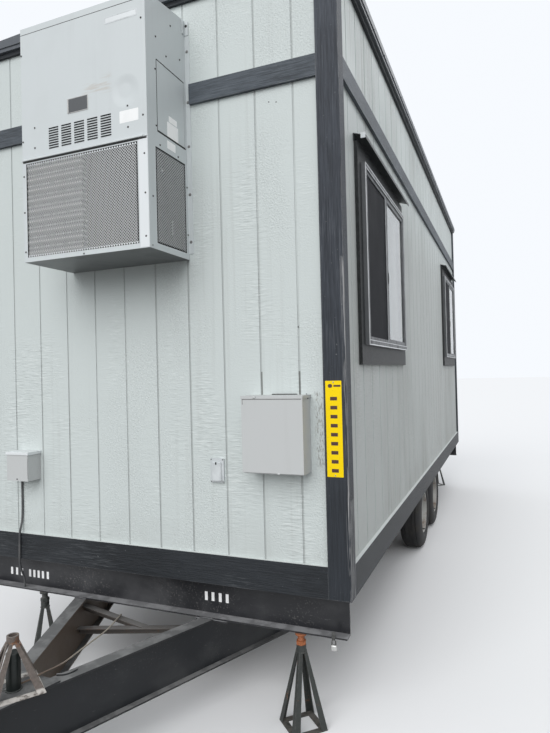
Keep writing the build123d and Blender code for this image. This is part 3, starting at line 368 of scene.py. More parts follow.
def wire_ripple(n: Nodes, given: Sockets) -> Wired:
    """Pressed board texture: short level ripples in some zones and small specks in the others.

    Ripples are noise stretched sideways, specks plain fine noise, and a slow noise chooses between them.
    Where another slow noise is low, the height stays close to its middle value.
    """
    lines = n.noise(1.0, 3.0, 0.55, given["Ripple Scale"])
    specks = n.noise(given["Speck Scale"], 2.0, 0.6)
    zone = n.ramp(n.noise(1.0, 1.0, 0.5, (5.2, 5.2, 1.3)), 0.40, 0.62)
    calm = n.ramp(n.noise(1.0, 1.0, 0.5, (3.1, 3.1, 1.9)), 0.36, 0.60)
    rough = n.math("SUBTRACT", n.blend(zone, specks, lines), 0.5)
    return {"Height": n.plus(n.times(rough, n.plus(n.times(calm, 0.70), 0.30)), 0.5)}


def wire_grain(n: Nodes, given: Sockets) -> Wired:
    """Rough-sawn wood: two sizes of noise stretched along the board, and a mask of the worn crests."""
    coarse = n.noise(1.0, 3.0, 0.6, given["Grain Scale"])
    fine = n.noise(3.3, 2.0, 0.6, given["Grain Scale"])
    height = n.plus(n.times(coarse, 0.7), n.times(fine, 0.3))
    return {"Height": height, "Worn": n.times(n.ramp(height, 0.52, 0.66), n.ramp(n.noise(3.5), 0.45, 0.75))}


def wire_stain(n: Nodes, given: Sockets) -> Wired:
    """Soft patches: noise at a given stretch, cut off smoothly between two levels."""
    return {"Mask": n.ramp(n.noise(1.0, 4.0, 0.55, given["Stretch"]), given["Low"], given["High"])}


def wire_edge(n: Nodes, given: Sockets) -> Wired:
    """Worn edges: where a rounded normal turns away from the true one, broken up by noise."""
    rounded = n.fed(n.add("Bevel", samples=4), {"Radius": given["Radius"]})[0]
    agree = n.vector("DOT_PRODUCT", rounded, n.direction())["Value"]
    broken = n.ramp(n.noise(1.0, 3.0, 0.6, given["Break"]), 0.38, 0.62)
    return {"Mask": n.times(n.ramp(n.rest(agree), 0.01, 0.2), broken)}


def wire_dust(n: Nodes, given: Sockets) -> Wired:
    """Dust lies where a face looks up, thinner where a noise is low."""
    patchy = n.ramp(n.noise(given["Patch Scale"], 4.0, 0.6), 0.25, 0.62)
    return {"Mask": n.times(n.ramp(n.facing(2), 0.35, 0.95), patchy)}


def wire_rust(n: Nodes, given: Sockets) -> Wired:
    """Rust: large patches plus small pits give the mask, and the pits turn the brown to orange."""
    pits = n.noise(160.0, 4.0, 0.7)
    level = n.plus(n.times(n.noise(given["Patch Scale"], 4.0, 0.65), 0.7), n.times(pits, 0.3))
    low = n.times(n.rest(given["Amount"]), 0.62)
    color = n.mix(n.ramp(pits, 0.35, 0.65), (0.060, 0.034, 0.024), (0.235, 0.108, 0.052))
    return {"Mask": n.ramp(level, low, n.plus(low, 0.10)), "Color": color, "Height": pits}


def wire_drips(n: Nodes, given: Sockets) -> Wired:
    """Rain streaks: narrow noise drawn out downwards, faded by a slower noise."""
    lines = n.ramp(n.noise(1.0, 3.0, 0.6, given["Stretch"]), given["Low"], given["High"])
    return {"Mask": n.times(lines, n.ramp(n.noise(1.0, 2.0, 0.5, (2.2, 2.2, 0.8)), 0.42, 0.66))}


def wire_splash(n: Nodes, given: Sockets) -> Wired:
    """Road dirt: one at the lower height, nothing at the upper, with a ragged border."""
    ragged = n.plus(n.axis(2), n.times(n.noise(6.0, 4.0, 0.65), 0.5))
    return {"Mask": n.rest(n.ramp(ragged, given["Lower"], given["Upper"]))}


def wire_inset(n: Nodes, given: Sockets) -> Wired:
    """Depth behind the faces of a box: the least of a point's distances to its six faces."""
    place = n.coords()
    above = n.split(n.vector("SUBTRACT", place, given["Low"])[0])
    below = n.split(n.vector("SUBTRACT", given["High"], place)[0])
    depth, *others = *above, *below
    for other in others:
        depth = n.math("MINIMUM", depth, other)
    return {"Depth": depth}


def wire_zone(n: Nodes, given: Sockets) -> Wired:
    """Soft box: one inside, falling to nothing over a margin outside its largest excess along an axis."""
    away = n.vector("ABSOLUTE", n.vector("SUBTRACT", n.coords(), given["Middle"])[0])[0]
    excess = n.split(n.vector("SUBTRACT", away, given["Half"])[0])
    most = n.math("MAXIMUM", n.math("MAXIMUM", excess[0], excess[1]), excess[2])
    return {"Mask": n.rest(n.ramp(most, 0.0, given["Margin"]))}


ZERO, ONE = (0.0, 0.0, 0.0), (1.0, 1.0, 1.0)
WIRING: dict[Effect, tuple[Callable, dict[str, object], tuple[str, ...]]] = {
    Effect.RIPPLE: (wire_ripple, {"Ripple Scale": (19.0, 19.0, 116.0), "Speck Scale": 120.0}, ("Height",)),
    Effect.GRAIN: (wire_grain, {"Grain Scale": (9.0, 9.0, 190.0)}, ("Height", "Worn")),
    Effect.STAIN: (wire_stain, {"Stretch": (2.0, 2.0, 1.0), "Low": 0.45, "High": 0.7}, ("Mask",)),
    Effect.EDGE: (wire_edge, {"Radius": 0.004, "Break": (40.0, 40.0, 40.0)}, ("Mask",)),
    Effect.DUST: (wire_dust, {"Patch Scale": 9.0}, ("Mask",)),
    Effect.RUST: (wire_rust, {"Patch Scale": 9.0, "Amount": 0.3}, ("Mask", "Color", "Height")),
    Effect.DRIPS: (wire_drips, {"Stretch": (42.0, 42.0, 0.9), "Low": 0.5, "High": 0.72}, ("Mask",)),
    Effect.SPLASH: (wire_splash, {"Lower": 0.5, "Upper": 1.1}, ("Mask",)),
    Effect.INSET: (wire_inset, {"Low": ZERO, "High": ONE}, ("Depth",)),
    Effect.ZONE: (wire_zone, {"Middle": ZERO, "Half": ONE, "Margin": 0.01}, ("Mask",)),
}
GROUPS: dict[Effect, bpy.types.NodeTree] = {}


def effect_group(effect: Effect) -> bpy.types.NodeTree:
    """Node group of an effect, built the first time that it is asked for."""
    if effect in GROUPS:
        return GROUPS[effect]
    wire, inputs, outputs = WIRING[effect]
    tree = bpy.data.node_groups.new(effect.value, "ShaderNodeTree")
    for name, value in inputs.items():
        kind = "NodeSocketVector" if isinstance(value, tuple) else "NodeSocketFloat"
        tree.interface.new_socket(name, in_out="INPUT", socket_type=kind).default_value = value
    for name in outputs:
        kind = "NodeSocketColor" if name == "Color" else "NodeSocketFloat"
        tree.interface.new_socket(name, in_out="OUTPUT", socket_type=kind)
    n = Nodes(tree)
    results = wire(n, tree.nodes.new("NodeGroupInput").outputs)
    n.fed(tree.nodes.new("NodeGroupOutput"), results)
    GROUPS[effect] = tree
    return tree


class Shader(Nodes):
    """One material with its Principled shader."""

    def __init__(self, name: str, roughness: float = 0.5, metallic: float = 0.0) -> None:
        """Starts a material with plain roughness and metallic values on the shader's own sockets."""
        self.material = bpy.data.materials.new(name)
        self.material.use_nodes = True
        super().__init__(self.material.node_tree)
        self.tree.nodes.clear()
        self.skin = self.add("BsdfPrincipled")
        self.feed(self.add("OutputMaterial").inputs["Surface"], self.skin.outputs[0])
        self.set(Roughness=roughness, Metallic=metallic)

    def set(self, **values: object) -> bpy.types.Material:
        """Feeds the shader's sockets by name, with underscores for spaces, and hands over the material."""
        self.fed(self.skin, {key.replace("_", " "): value for key, value in values.items()})
        return self.material

    def effect(self, effect: Effect, **values: object) -> Sockets:
        """Places a shared effect with its own values."""
        inputs = {key.replace("_", " "): value for key, value in values.items()}
        return self.fed(self.add("Group", node_tree=effect_group(effect)), inputs)

    def stain(self, stretch: float | Triple, low: float, high: float) -> Socket:
        """Mask of soft patches, stretched alike or along each axis, between two levels."""
        stretch = stretch if isinstance(stretch, tuple) else (stretch,) * 3
        return self.effect(Effect.STAIN, Stretch=stretch, Low=low, High=high)[0]

    def edge(self, radius: float, broken: Triple) -> Socket:
        """Mask of the worn edges within a radius in metres, broken up along each axis."""
        return self.effect(Effect.EDGE, Radius=radius, Break=broken)[0]

    def zone(self, box: Box, margin: float) -> Socket:
        """Mask of a soft box, given by its middle and half size in metres."""
        return self.effect(Effect.ZONE, Middle=box[0], Half=box[1], Margin=margin)[0]

    def bump(self, height: object, distance: float, strength: float, under: object = None) -> Socket:
        """Normal of a bumpy skin; distance is the depth in metres that a height of one stands for."""
        inputs = {"Strength": strength, "Distance": distance, "Height": height}
        if under is not None:
            inputs["Normal"] = under
        return self.fed(self.add("Bump"), inputs)[0]


@dataclass(frozen=True)
class Siding:
    """Pale satin paint on pressed boards, with rain streaks and road dirt low down, and painted light:
    highlights on the ripple crests, shade in their valleys and in the grooves, and shade on the lower part of
    the long sides.

    Args:
        color: Paint.
        crest_highlight: Colour of the painted highlight on the raised ripples.
        dirt: Colour of streaks and splashes.
        lower_side_shade: Colour of the painted shade on the long sides, full below 2.5 m and fading out by
            3.3 m.
        runs: Places in mm, across and up the front, from which dark drips run down in a groove.
        flaked: Middle and half size in metres of a strip with flaked paint.
    """

    color: Triple = (0.585, 0.632, 0.620)
    crest_highlight: Triple = (0.730, 0.770, 0.758)
    dirt: Triple = (0.26, 0.26, 0.235)
    lower_side_shade: Triple = (0.29, 0.285, 0.265)
    runs: tuple[tuple[float, float], ...] = ((749.0, 1722.0), (949.0, 1721.0))
    flaked: Box = ((1.046, FRONT_Y, 1.44), (0.010, 0.004, 0.17))

    def build(self) -> bpy.types.Material:
        """Makes the material."""
        s = Shader("siding_paint", 0.55)
        low, high = corners("siding")
        height = s.effect(Effect.RIPPLE)["Height"]
        depth = s.effect(Effect.INSET, Low=(*low[:2], -9.0), High=(*high[:2], 99.0))["Depth"]
        side = s.ramp(s.size(s.facing(0)), 0.5, 0.9)
        blotch = s.stain((1.4, 1.4, 0.7), 0.42, 0.72)
        fine = s.effect(Effect.DRIPS, Stretch=(95.0, 95.0, 0.8), Low=0.42, High=0.64)[0]
        far = s.ramp(s.noise(1.0, 1.0, 0.5, (1.1, 1.1, 0.5)), 0.40, 0.60)
        color = s.coats(
            self.color,
            (blotch, 0.4, shade(self.color, 0.93)),
            # Painted shade in the ripples' valleys and painted highlight on their crests.
            (s.rest(s.ramp(height, 0.33, 0.47)), 0.24, shade(self.color, 0.62)),
            (s.ramp(height, 0.53, 0.66, 0.46), self.crest_highlight),
            (s.effect(Effect.DRIPS)[0], 0.10, self.dirt),
            (fine, side, 0.62, self.dirt),
            (s.effect(Effect.SPLASH, Lower=0.9, Upper=1.25)[0], 0.20, self.dirt),
            # Painted shade: the long sides darker below 3.3 m.
            (s.rest(s.ramp(s.axis(2), 2.50, 3.30)), side, 0.42, self.lower_side_shade),
            # Painted shade in the grooves, 1 to 2.6 mm behind the outer faces.
            (s.ramp(depth, 0.0010, 0.0026), s.blend(far, 0.14, 0.40), (0.20, 0.21, 0.21)),
            *self.marks(s),
        )
        s.set(Base_Color=color, Roughness=s.blend(blotch, 0.46, 0.60), Specular_IOR_Level=0.30)
        return s.set(Normal=s.bump(height, 0.0042, 1.0))

    def marks(self, s: Shader) -> list[tuple[object, ...]]:
        """Coats of the drips under the panel's screws and of the strip of flaked paint beside it."""
        half, drip = (0.003, 0.004, 0.075), (0.10, 0.10, 0.09)
        runs = [(s.zone((tuple(at(x, 2, z - 75)), half), 0.003), 0.75, drip) for x, z in self.runs]
        flakes = s.stain((150.0, 150.0, 45.0), 0.50, 0.60)
        return [*runs, (s.zone(self.flaked, 0.02), flakes, 0.7, (0.23, 0.22, 0.20))]


@dataclass(frozen=True)
class Board:
    """Dark painted rough-sawn trim board, with a painted highlight on faces that look up and, where heights
    are given, painted light that makes it darker towards the bottom.

    Args:
        name: Name of the material.
        color: Paint.
        worn: Colour of the worn crests and edges.
        grain: Scale of the grain per metre along X, Y and Z; small along the board.
        edge_reach: Width of the worn edge in metres.
        edge_share: Strength of the worn edge, from 0 to 1.
        scratched: Middles and half sizes in metres of the places with upright scratches.
        lower_shade: Heights in metres below which the board is darkened and above which it keeps its full
            colour: painted light, lighter towards the top as a painted reflection.
        top_highlight: Colour of the painted highlight on faces that look up.
    """

    name: str
    color: Triple
    worn: Triple = (0.27, 0.28, 0.285)
    grain: Triple = (9.0, 9.0, 190.0)
    edge_reach: float = 0.005
    edge_share: float = 0.45
    scratched: tuple[Box, ...] = ()
    lower_shade: tuple[float, float] = (-2.0, -1.0)
    top_highlight: Triple = (0.33, 0.34, 0.34)

    def build(self) -> bpy.types.Material:
        """Makes the material."""
        s = Shader(self.name, 0.6)
        grain = s.effect(Effect.GRAIN, Grain_Scale=self.grain)
        edge = s.edge(self.edge_reach, tuple(max(g * 0.35, 5.0) for g in self.grain))
        unshaded = s.coats(
            shade(self.color, 0.50),
            (s.ramp(grain["Height"], 0.36, 0.62), self.color),
            (s.stain(2.2, 0.38, 0.70), 0.35, shade(self.color, 1.7)),
            (grain["Worn"], 0.34, self.worn),
            (s.math("MAXIMUM", edge, s.stain(60.0, 0.70, 0.76)), self.edge_share, self.worn),
        )
        # Painted light: the board darker towards the bottom and lighter towards the top.
        lower_shade = s.mix(0.55, unshaded, (0.014, 0.016, 0.018))
        color = s.coats(
            lower_shade,
            (s.ramp(s.axis(2), *self.lower_shade), unshaded),
            *((s.zone(box, 0.012), s.stain((260.0, 260.0, 5.0), 0.50, 0.58), 0.80, (0.36, 0.36, 0.36))
              for box in self.scratched),
            # Painted highlight on faces that look up.
            (s.ramp(s.facing(2), 0.60, 0.95), 0.8, self.top_highlight),
        )
        s.set(Base_Color=color, Roughness=s.blend(grain["Worn"], 0.50, 0.75), Specular_IOR_Level=0.22)
        return s.set(Normal=s.bump(grain["Height"], 0.0045, 0.9))


@dataclass(frozen=True)
class SheetPaint:
    """Factory paint on sheet metal, with faint waves, grime and worn edges, and painted shade behind the
    faces of a housing where one is given.

    Args:
        name: Name of the material.
        color: Paint.
        grime: Colour of the dirt that lies on it.
        dirt: How strong the dirt is, from 0 to 1.
        roughness: Roughness of clean paint.
        shell: Lowest and highest corner of the housing in metres; behind its faces, and on its underside, the
            colour is dark painted shade.
        smear: Middle and half size of a rusty smear.
        dent: Middle and radius of a shallow dent in the front face.
    """

    name: str
    color: Triple
    grime: Triple = (0.20, 0.20, 0.18)
    dirt: float = 0.2
    roughness: float = 0.42
    shell: Optional[Box] = None
    smear: Optional[Box] = None
    dent: Optional[tuple[Triple, float]] = None

    def build(self) -> bpy.types.Material:
        """Makes the material."""
        s = Shader(self.name, self.roughness)
        blotch = s.stain((5.0, 5.0, 3.0), 0.45, 0.75)
        coats = [
            (blotch, 0.4 * self.dirt, self.grime),
            (s.effect(Effect.DRIPS)[0], 0.7 * self.dirt, self.grime),
            (s.effect(Effect.DUST)[0], 1.2 * self.dirt, self.grime),
            (s.edge(0.002, (70.0, 70.0, 70.0)), 0.35, (0.45, 0.45, 0.44)),
        ]
        if self.smear:
            wisps = s.stain((9.0, 9.0, 60.0), 0.42, 0.62)
            coats.append((s.zone(self.smear, 0.05), wisps, 0.35, (0.42, 0.33, 0.24)))
        if self.shell:
            # Painted shade: dark inside the housing and on its underside.
            depth = s.effect(Effect.INSET, Low=self.shell[0], High=self.shell[1])["Depth"]
            coats.append((s.ramp(depth, 0.0006, 0.0020), (0.010, 0.010, 0.010)))
        s.set(Base_Color=s.coats(self.color, *coats))
        s.set(Roughness=s.blend(blotch, self.roughness, self.roughness + 0.14))
        skin = s.bump(s.noise(420.0), 0.0001, 0.3)
        skin = s.bump(s.noise(4.5, 1.0), 0.0030, 0.4, skin)
        if self.dent:
            middle, radius = self.dent
            away = s.vector("DISTANCE", s.coords(), middle)["Value"]
            skin = s.bump(s.ramp(away, 0.35 * radius, radius), 0.006, 0.8, skin)
        return s.set(Normal=skin)


@dataclass(frozen=True)
class FrameSteel:
    """Black painted structural steel with settled dust, scuffs and a little rust.

    Args:
        name: Name of the material.
        color: Paint.
        dust: Colour of what lies on its upper faces.
        rust: Share that has rusted, from 0 to 1.
        roughness: Roughness of clean paint.
        thrown: Direction of the faces that road dust is thrown on, or nothing.
        specked: Strength of the pale specks.
    """

    name: str
    color: Triple = (0.0135, 0.015, 0.0175)
    dust: Triple = (0.200, 0.200, 0.198)
    rust: float = 0.0
    roughness: float = 0.40
    thrown: Optional[Triple] = None
    specked: float = 0.40

    def build(self) -> bpy.types.Material:
        """Makes the material."""
        s = Shader(self.name, self.roughness)
        rust = s.effect(Effect.RUST, Patch_Scale=7.0, Amount=self.rust)
        film = s.stain((2.6, 2.6, 3.4), 0.42, 0.74)
        specks = s.stain(110.0, 0.58, 0.66)
        coats = [
            (film, 0.16, self.dust),
            (s.stain((26.0, 26.0, 95.0), 0.66, 0.74), 0.22, (0.18, 0.18, 0.18)),
            (specks, s.ramp(s.noise(1.7), 0.45, 0.62), self.specked, (0.22, 0.21, 0.20)),
            (s.edge(0.003, (45.0, 45.0, 45.0)), 0.55, (0.17, 0.165, 0.16)),
        ]
        if self.rust:
            coats.append((rust["Mask"], rust["Color"]))
        if self.thrown:
            agree = s.vector("DOT_PRODUCT", s.direction(), self.thrown)["Value"]
            coats.append((s.ramp(agree, 0.90, 0.98), 0.80, (0.235, 0.180, 0.140)))
        level = s.ramp(s.facing(2), 0.70, 0.95, 0.62)
        dust = s.math("MAXIMUM", s.effect(Effect.DUST, Patch_Scale=12.0)[0], level)
        s.set(Base_Color=s.coats(self.color, *coats, (dust, 0.92, self.dust)), Specular_IOR_Level=0.34)
        s.set(Roughness=s.blend(dust, s.blend(film, self.roughness, 0.6), 0.85))
        return s.set(Normal=s.bump(rust["Height"], 0.0006, 0.4, s.bump(s.noise(9.0), 0.002, 0.3)))


@dataclass(frozen=True)
class Rusted:
    """Old stand steel: worn dark paint over rust, bright where it rubs.

    Args:
        name: Name of the material.
        paint: What is left of the paint.
        amount: Share that has rusted.
        bright: Colour of the rubbed edges.
        warm: Middle and half size in metres of the part that is bright orange rust.
        rubbed_to: Height in metres below which its edges are rubbed pale.
    """

    name: str
    paint: Triple
    amount: float
    bright: Triple
    warm: Box = ((0.0, 0.0, 9.0), (0.1, 0.1, 0.1))
    rubbed_to: float = -1.0

    def build(self) -> bpy.types.Material:
        """Makes the material."""
        s = Shader(self.name, 0.7)
        rust = s.effect(Effect.RUST, Patch_Scale=14.0, Amount=self.amount)
        low = s.rest(s.ramp(s.axis(2), self.rubbed_to - 0.002, self.rubbed_to + 0.006))
        orange = s.mix(s.ramp(rust["Height"], 0.35, 0.65), (0.20, 0.060, 0.022), (0.42, 0.145, 0.055))
        color = s.coats(
            self.paint,
            (s.ramp(s.noise(70.0, 4.0, 0.65), 0.35, 0.68), 0.45, shade(self.paint, 2.1)),
            (rust["Mask"], rust["Color"]),
            (s.edge(0.004, (60.0, 60.0, 60.0)), 0.7, self.bright),
            (s.effect(Effect.DUST, Patch_Scale=20.0)[0], 0.5, (0.19, 0.17, 0.15)),
            (low, s.ramp(s.noise(34.0, 3.0, 0.6), 0.36, 0.54), 0.85, (0.60, 0.57, 0.53)),
            (s.zone(self.warm, 0.003), orange),
        )
        s.set(Base_Color=color, Roughness=s.blend(rust["Mask"], 0.58, 0.9))
        return s.set(Normal=s.bump(rust["Height"], 0.0012, 0.7))


@dataclass(frozen=True)
class BareMetal:
    """Uncoated aluminium or zinc with a fine drawn texture and dull patches, and where asked a pale painted
    highlight on an outer border.

    Args:
        name: Name of the material.
        color: Metal.
        roughness: Roughness where it is clean.
        metallic: Metallic value.
        bright: Colour of the painted highlight on the outer border of faces that look along Y, or nothing.
        border: Distance from the middle, in metres, beyond which that border lies.
    """

    name: str
    color: Triple
    roughness: float
    metallic: float = 0.85
    bright: Optional[Triple] = None
    border: float = 0.0

    def build(self) -> bpy.types.Material:
        """Makes the material."""
        s = Shader(self.name, self.roughness, self.metallic)
        dull = s.stain((14.0, 14.0, 9.0), 0.42, 0.7)
        coats = [
            (dull, 0.4, shade(self.color, 0.78)),
            (s.stain((70.0, 70.0, 22.0), 0.56, 0.75), 0.25, (0.16, 0.16, 0.15)),
        ]
        # Painted highlight on the outer border of faces that look along Y.
        if self.bright:
            outer = s.ramp(s.size(s.axis(0)), self.border, self.border + 0.001)
            coats.append((s.ramp(s.size(s.facing(1)), 0.6, 0.9), outer, 0.7, self.bright))
        s.set(Base_Color=s.coats(self.color, *coats))
        s.set(Roughness=s.blend(dull, self.roughness, self.roughness + 0.22))
        return s.set(Normal=s.bump(s.noise(300.0, 1.0), 0.0001, 0.3))


@dataclass(frozen=True)
class Plain:
    """Moulded plastic, rubber, film or card: fine grain with slow changes of tone.

    Args:
        name: Name of the material.
        color: Main colour.
        second: Colour of its patches.
        roughness: Roughness.
        grain: Grains per metre.
        depth: Depth of the grain in metres.
        coat: Clear coat weight.
    """

    name: str
    color: Triple
    second: Triple
    roughness: float
    grain: float = 350.0
    depth: float = 0.0002
    coat: float = 0.0

    def build(self) -> bpy.types.Material:
        """Makes the material."""
        s = Shader(self.name, self.roughness)
        patch = s.stain(8.0, 0.40, 0.72)
        s.set(Base_Color=s.mix(patch, self.color, self.second), Coat_Weight=self.coat)
        s.set(Roughness=s.blend(patch, self.roughness, min(self.roughness + 0.15, 1.0)))
        return s.set(Normal=s.bump(s.noise(self.grain, 3.0, 0.6), self.depth, 0.6))


@dataclass(frozen=True)
class Membrane:
    """Pale roof sheet with lapped seams across it, puddle marks and dust.

    Args:
        color: Clean sheet.
        width: Distance of two seams in metres.
    """

    color: Triple = (0.58, 0.59, 0.59)
    width: float = 1.95

    def build(self) -> bpy.types.Material:
        """Makes the material."""
        s = Shader("roof_membrane", 0.75)
        wave = s.humps(s.axis(1), self.width)
        puddle = s.stain((1.3, 0.9, 1.0), 0.48, 0.60)
        color = s.coats(
            self.color,
            (puddle, 0.45, (0.36, 0.35, 0.32)),
            (s.stain(7.0, 0.40, 0.75), 0.40, (0.44, 0.44, 0.42)),
            (s.rest(s.ramp(wave, 0.010, 0.030)), 0.55, (0.25, 0.25, 0.24)),
        )
        s.set(Base_Color=color, Roughness=s.blend(puddle, 0.70, 0.88))
        grit = s.bump(s.noise(60.0, 3.0), 0.001, 0.5)
        return s.set(Normal=s.bump(s.ramp(wave, 0.03, 0.06), 0.003, 0.8, grit))


@dataclass(frozen=True)
class Pane:
    """Clear window glass with a film of dust.

    Args:
        color: Tint of the glass.
    """

    color: Triple = (0.80, 0.86, 0.86)

    def build(self) -> bpy.types.Material:
        """Makes the material."""
        s = Shader("window_pane", 0.03)
        film = s.stain((3.0, 3.0, 1.2), 0.35, 0.75)
        s.set(Base_Color=s.coats(self.color, (film, 0.25, (0.62, 0.64, 0.62))))
        return s.set(Transmission_Weight=1.0, IOR=1.72, Roughness=s.blend(film, 0.02, 0.07))


@dataclass(frozen=True)
class InsectMesh:
    """Dark woven screen: fine threads with open gaps between them.

    Args:
        color: Threads.
        pitch: Distance of two threads in metres.
    """

    color: Triple = (0.017, 0.018, 0.021)
    pitch: float = 0.004

    def build(self) -> bpy.types.Material:
        """Makes the material."""
        s = Shader("insect_mesh", 0.8)
        gaps = s.times(s.humps(s.axis(1), self.pitch), s.humps(s.axis(2), self.pitch))
        dust = s.stain((4.0, 4.0, 1.5), 0.4, 0.7)
        s.set(Base_Color=s.coats(self.color, (dust, 0.5, (0.050, 0.051, 0.055))), Specular_IOR_Level=0.15)
        return s.set(Alpha=s.blend(gaps, 1.0, 0.86), Normal=s.bump(gaps, 0.0004, 0.5))


@dataclass(frozen=True)
class Fins:
    """Coil of thin upright fins in dusty aluminium, with pale level tubes in front.

    Painted highlights run as pale level lines along each tube and half way between two tubes, and painted
    shade darkens the gaps between the fins.

    Args:
        color: Fins.
        tube: Tubes, and the colour of the painted highlights.
        pitch: Distance of two fins in metres.
        front: Place along Y of the fins' face, in metres.
        lowest: Height of the lowest line of painted highlight in metres.
        highlight_pitch: Distance of two lines of painted highlight in metres.
    """

    color: Triple = (0.135, 0.122, 0.124)
    tube: Triple = (0.97, 0.95, 0.93)
    pitch: float = 0.0035
    front: float = FRONT_Y - 0.334
    lowest: float = 2.344
    highlight_pitch: float = 0.484 / 18

    def build(self) -> bpy.types.Material:
        """Makes the material."""
        s = Shader("coil_fins", 0.5, 0.1)
        x, y, z = s.split(s.coords())
        wave = s.math("SINE", s.times(x, 2 * math.pi / self.pitch))
        turn = s.times(s.math("SUBTRACT", z, self.lowest), 2 * math.pi / self.highlight_pitch)
        # Pale level lines of painted highlight.
        line = s.ramp(s.math("COSINE", turn), 0.10, 0.95)
        ahead = s.rest(s.ramp(y, self.front - 0.006, self.front - 0.001))
        color = s.coats(
            # Painted shade between the fins.
            shade(self.color, 0.45),
            (s.ramp(wave, -0.8, 0.6), self.color),
            (s.stain((10.0, 10.0, 40.0), 0.5, 0.7), 0.4, (0.42, 0.40, 0.38)),
            (line, s.blend(s.stain(75.0, 0.36, 0.60), 0.22, 0.80), self.tube),
            (ahead, s.mix(line, shade(self.tube, 0.42), self.tube)),
        )
        return s.set(Base_Color=color, Normal=s.bump(wave, 0.0006, 0.6))


@dataclass(frozen=True)
class RopeFibre:
    """Weathered twisted fibre, brown near the jack and pale further back.

    Args:
        pale: Clean fibre.
        brown: Soiled fibre.
        turn_y: Place along Y, in metres, where the brown starts to turn pale.
    """

    pale: Triple = (0.56, 0.50, 0.40)
    brown: Triple = (0.19, 0.125, 0.085)
    turn_y: float = -3.08

    def build(self) -> bpy.types.Material:
        """Makes the material."""
        s = Shader("rope_fibre", 0.9)
        ragged = s.plus(s.axis(1), s.times(s.noise(40.0), 0.15))
        clean = s.ramp(ragged, self.turn_y, self.turn_y + 0.3)
        fibres = s.noise(1.0, 2.0, 0.6, (900.0, 300.0, 900.0))
        color = s.coats(self.brown, (clean, self.pale), (s.ramp(fibres, 0.3, 0.6, 0.6), (0.10, 0.08, 0.06)))
        return s.set(Base_Color=color, Normal=s.bump(fibres, 0.0006, 0.8), Sheen_Weight=0.3)


@dataclass(frozen=True)
class Planks:
    """Floor boards with grain along X and dark joints.

    Args:
        width: Width of a board in metres.
    """

    width: float = 0.14

    def build(self) -> bpy.types.Material:
        """Makes the material."""
        s = Shader("floor_planks", 0.6)
        height = s.effect(Effect.GRAIN, Grain_Scale=(4.0, 90.0, 60.0))["Height"]
        joint = s.ramp(s.humps(s.axis(1), self.width), 0.0, 0.05)
        wood = s.mix(height, (0.24, 0.17, 0.11), (0.46, 0.36, 0.25))
        s.set(Base_Color=s.mix(joint, (0.05, 0.04, 0.03), wood))
        return s.set(Normal=s.bump(s.times(height, joint), 0.001, 0.5))


@dataclass(frozen=True)
class Marked:
    """Enamel on a sign plate: glossy, with scratches and small chips.

    Args:
        name: Name of the material.
        color: Enamel.
        chipped: Colour under it.
        chips: Strength of the chips from 0 to 1.
        shine: Specular level.
    """

    name: str
    color: Triple
    chipped: Triple = (0.25, 0.20, 0.05)
    chips: float = 0.5
    shine: float = 0.5

    def build(self) -> bpy.types.Material:
        """Makes the material."""
        s = Shader(self.name, 0.35)
        fade = s.stain((18.0, 18.0, 7.0), 0.45, 0.8)
        spots = s.stain((160.0, 160.0, 120.0), 0.66, 0.72)
        color = s.coats(self.color, (fade, 0.3, shade(self.color, 0.75)), (spots, self.chips, self.chipped))
        s.set(Base_Color=color, Roughness=s.blend(fade, 0.30, 0.55), Specular_IOR_Level=self.shine)
        return s.set(Normal=s.bump(spots, 0.0002, 0.5))


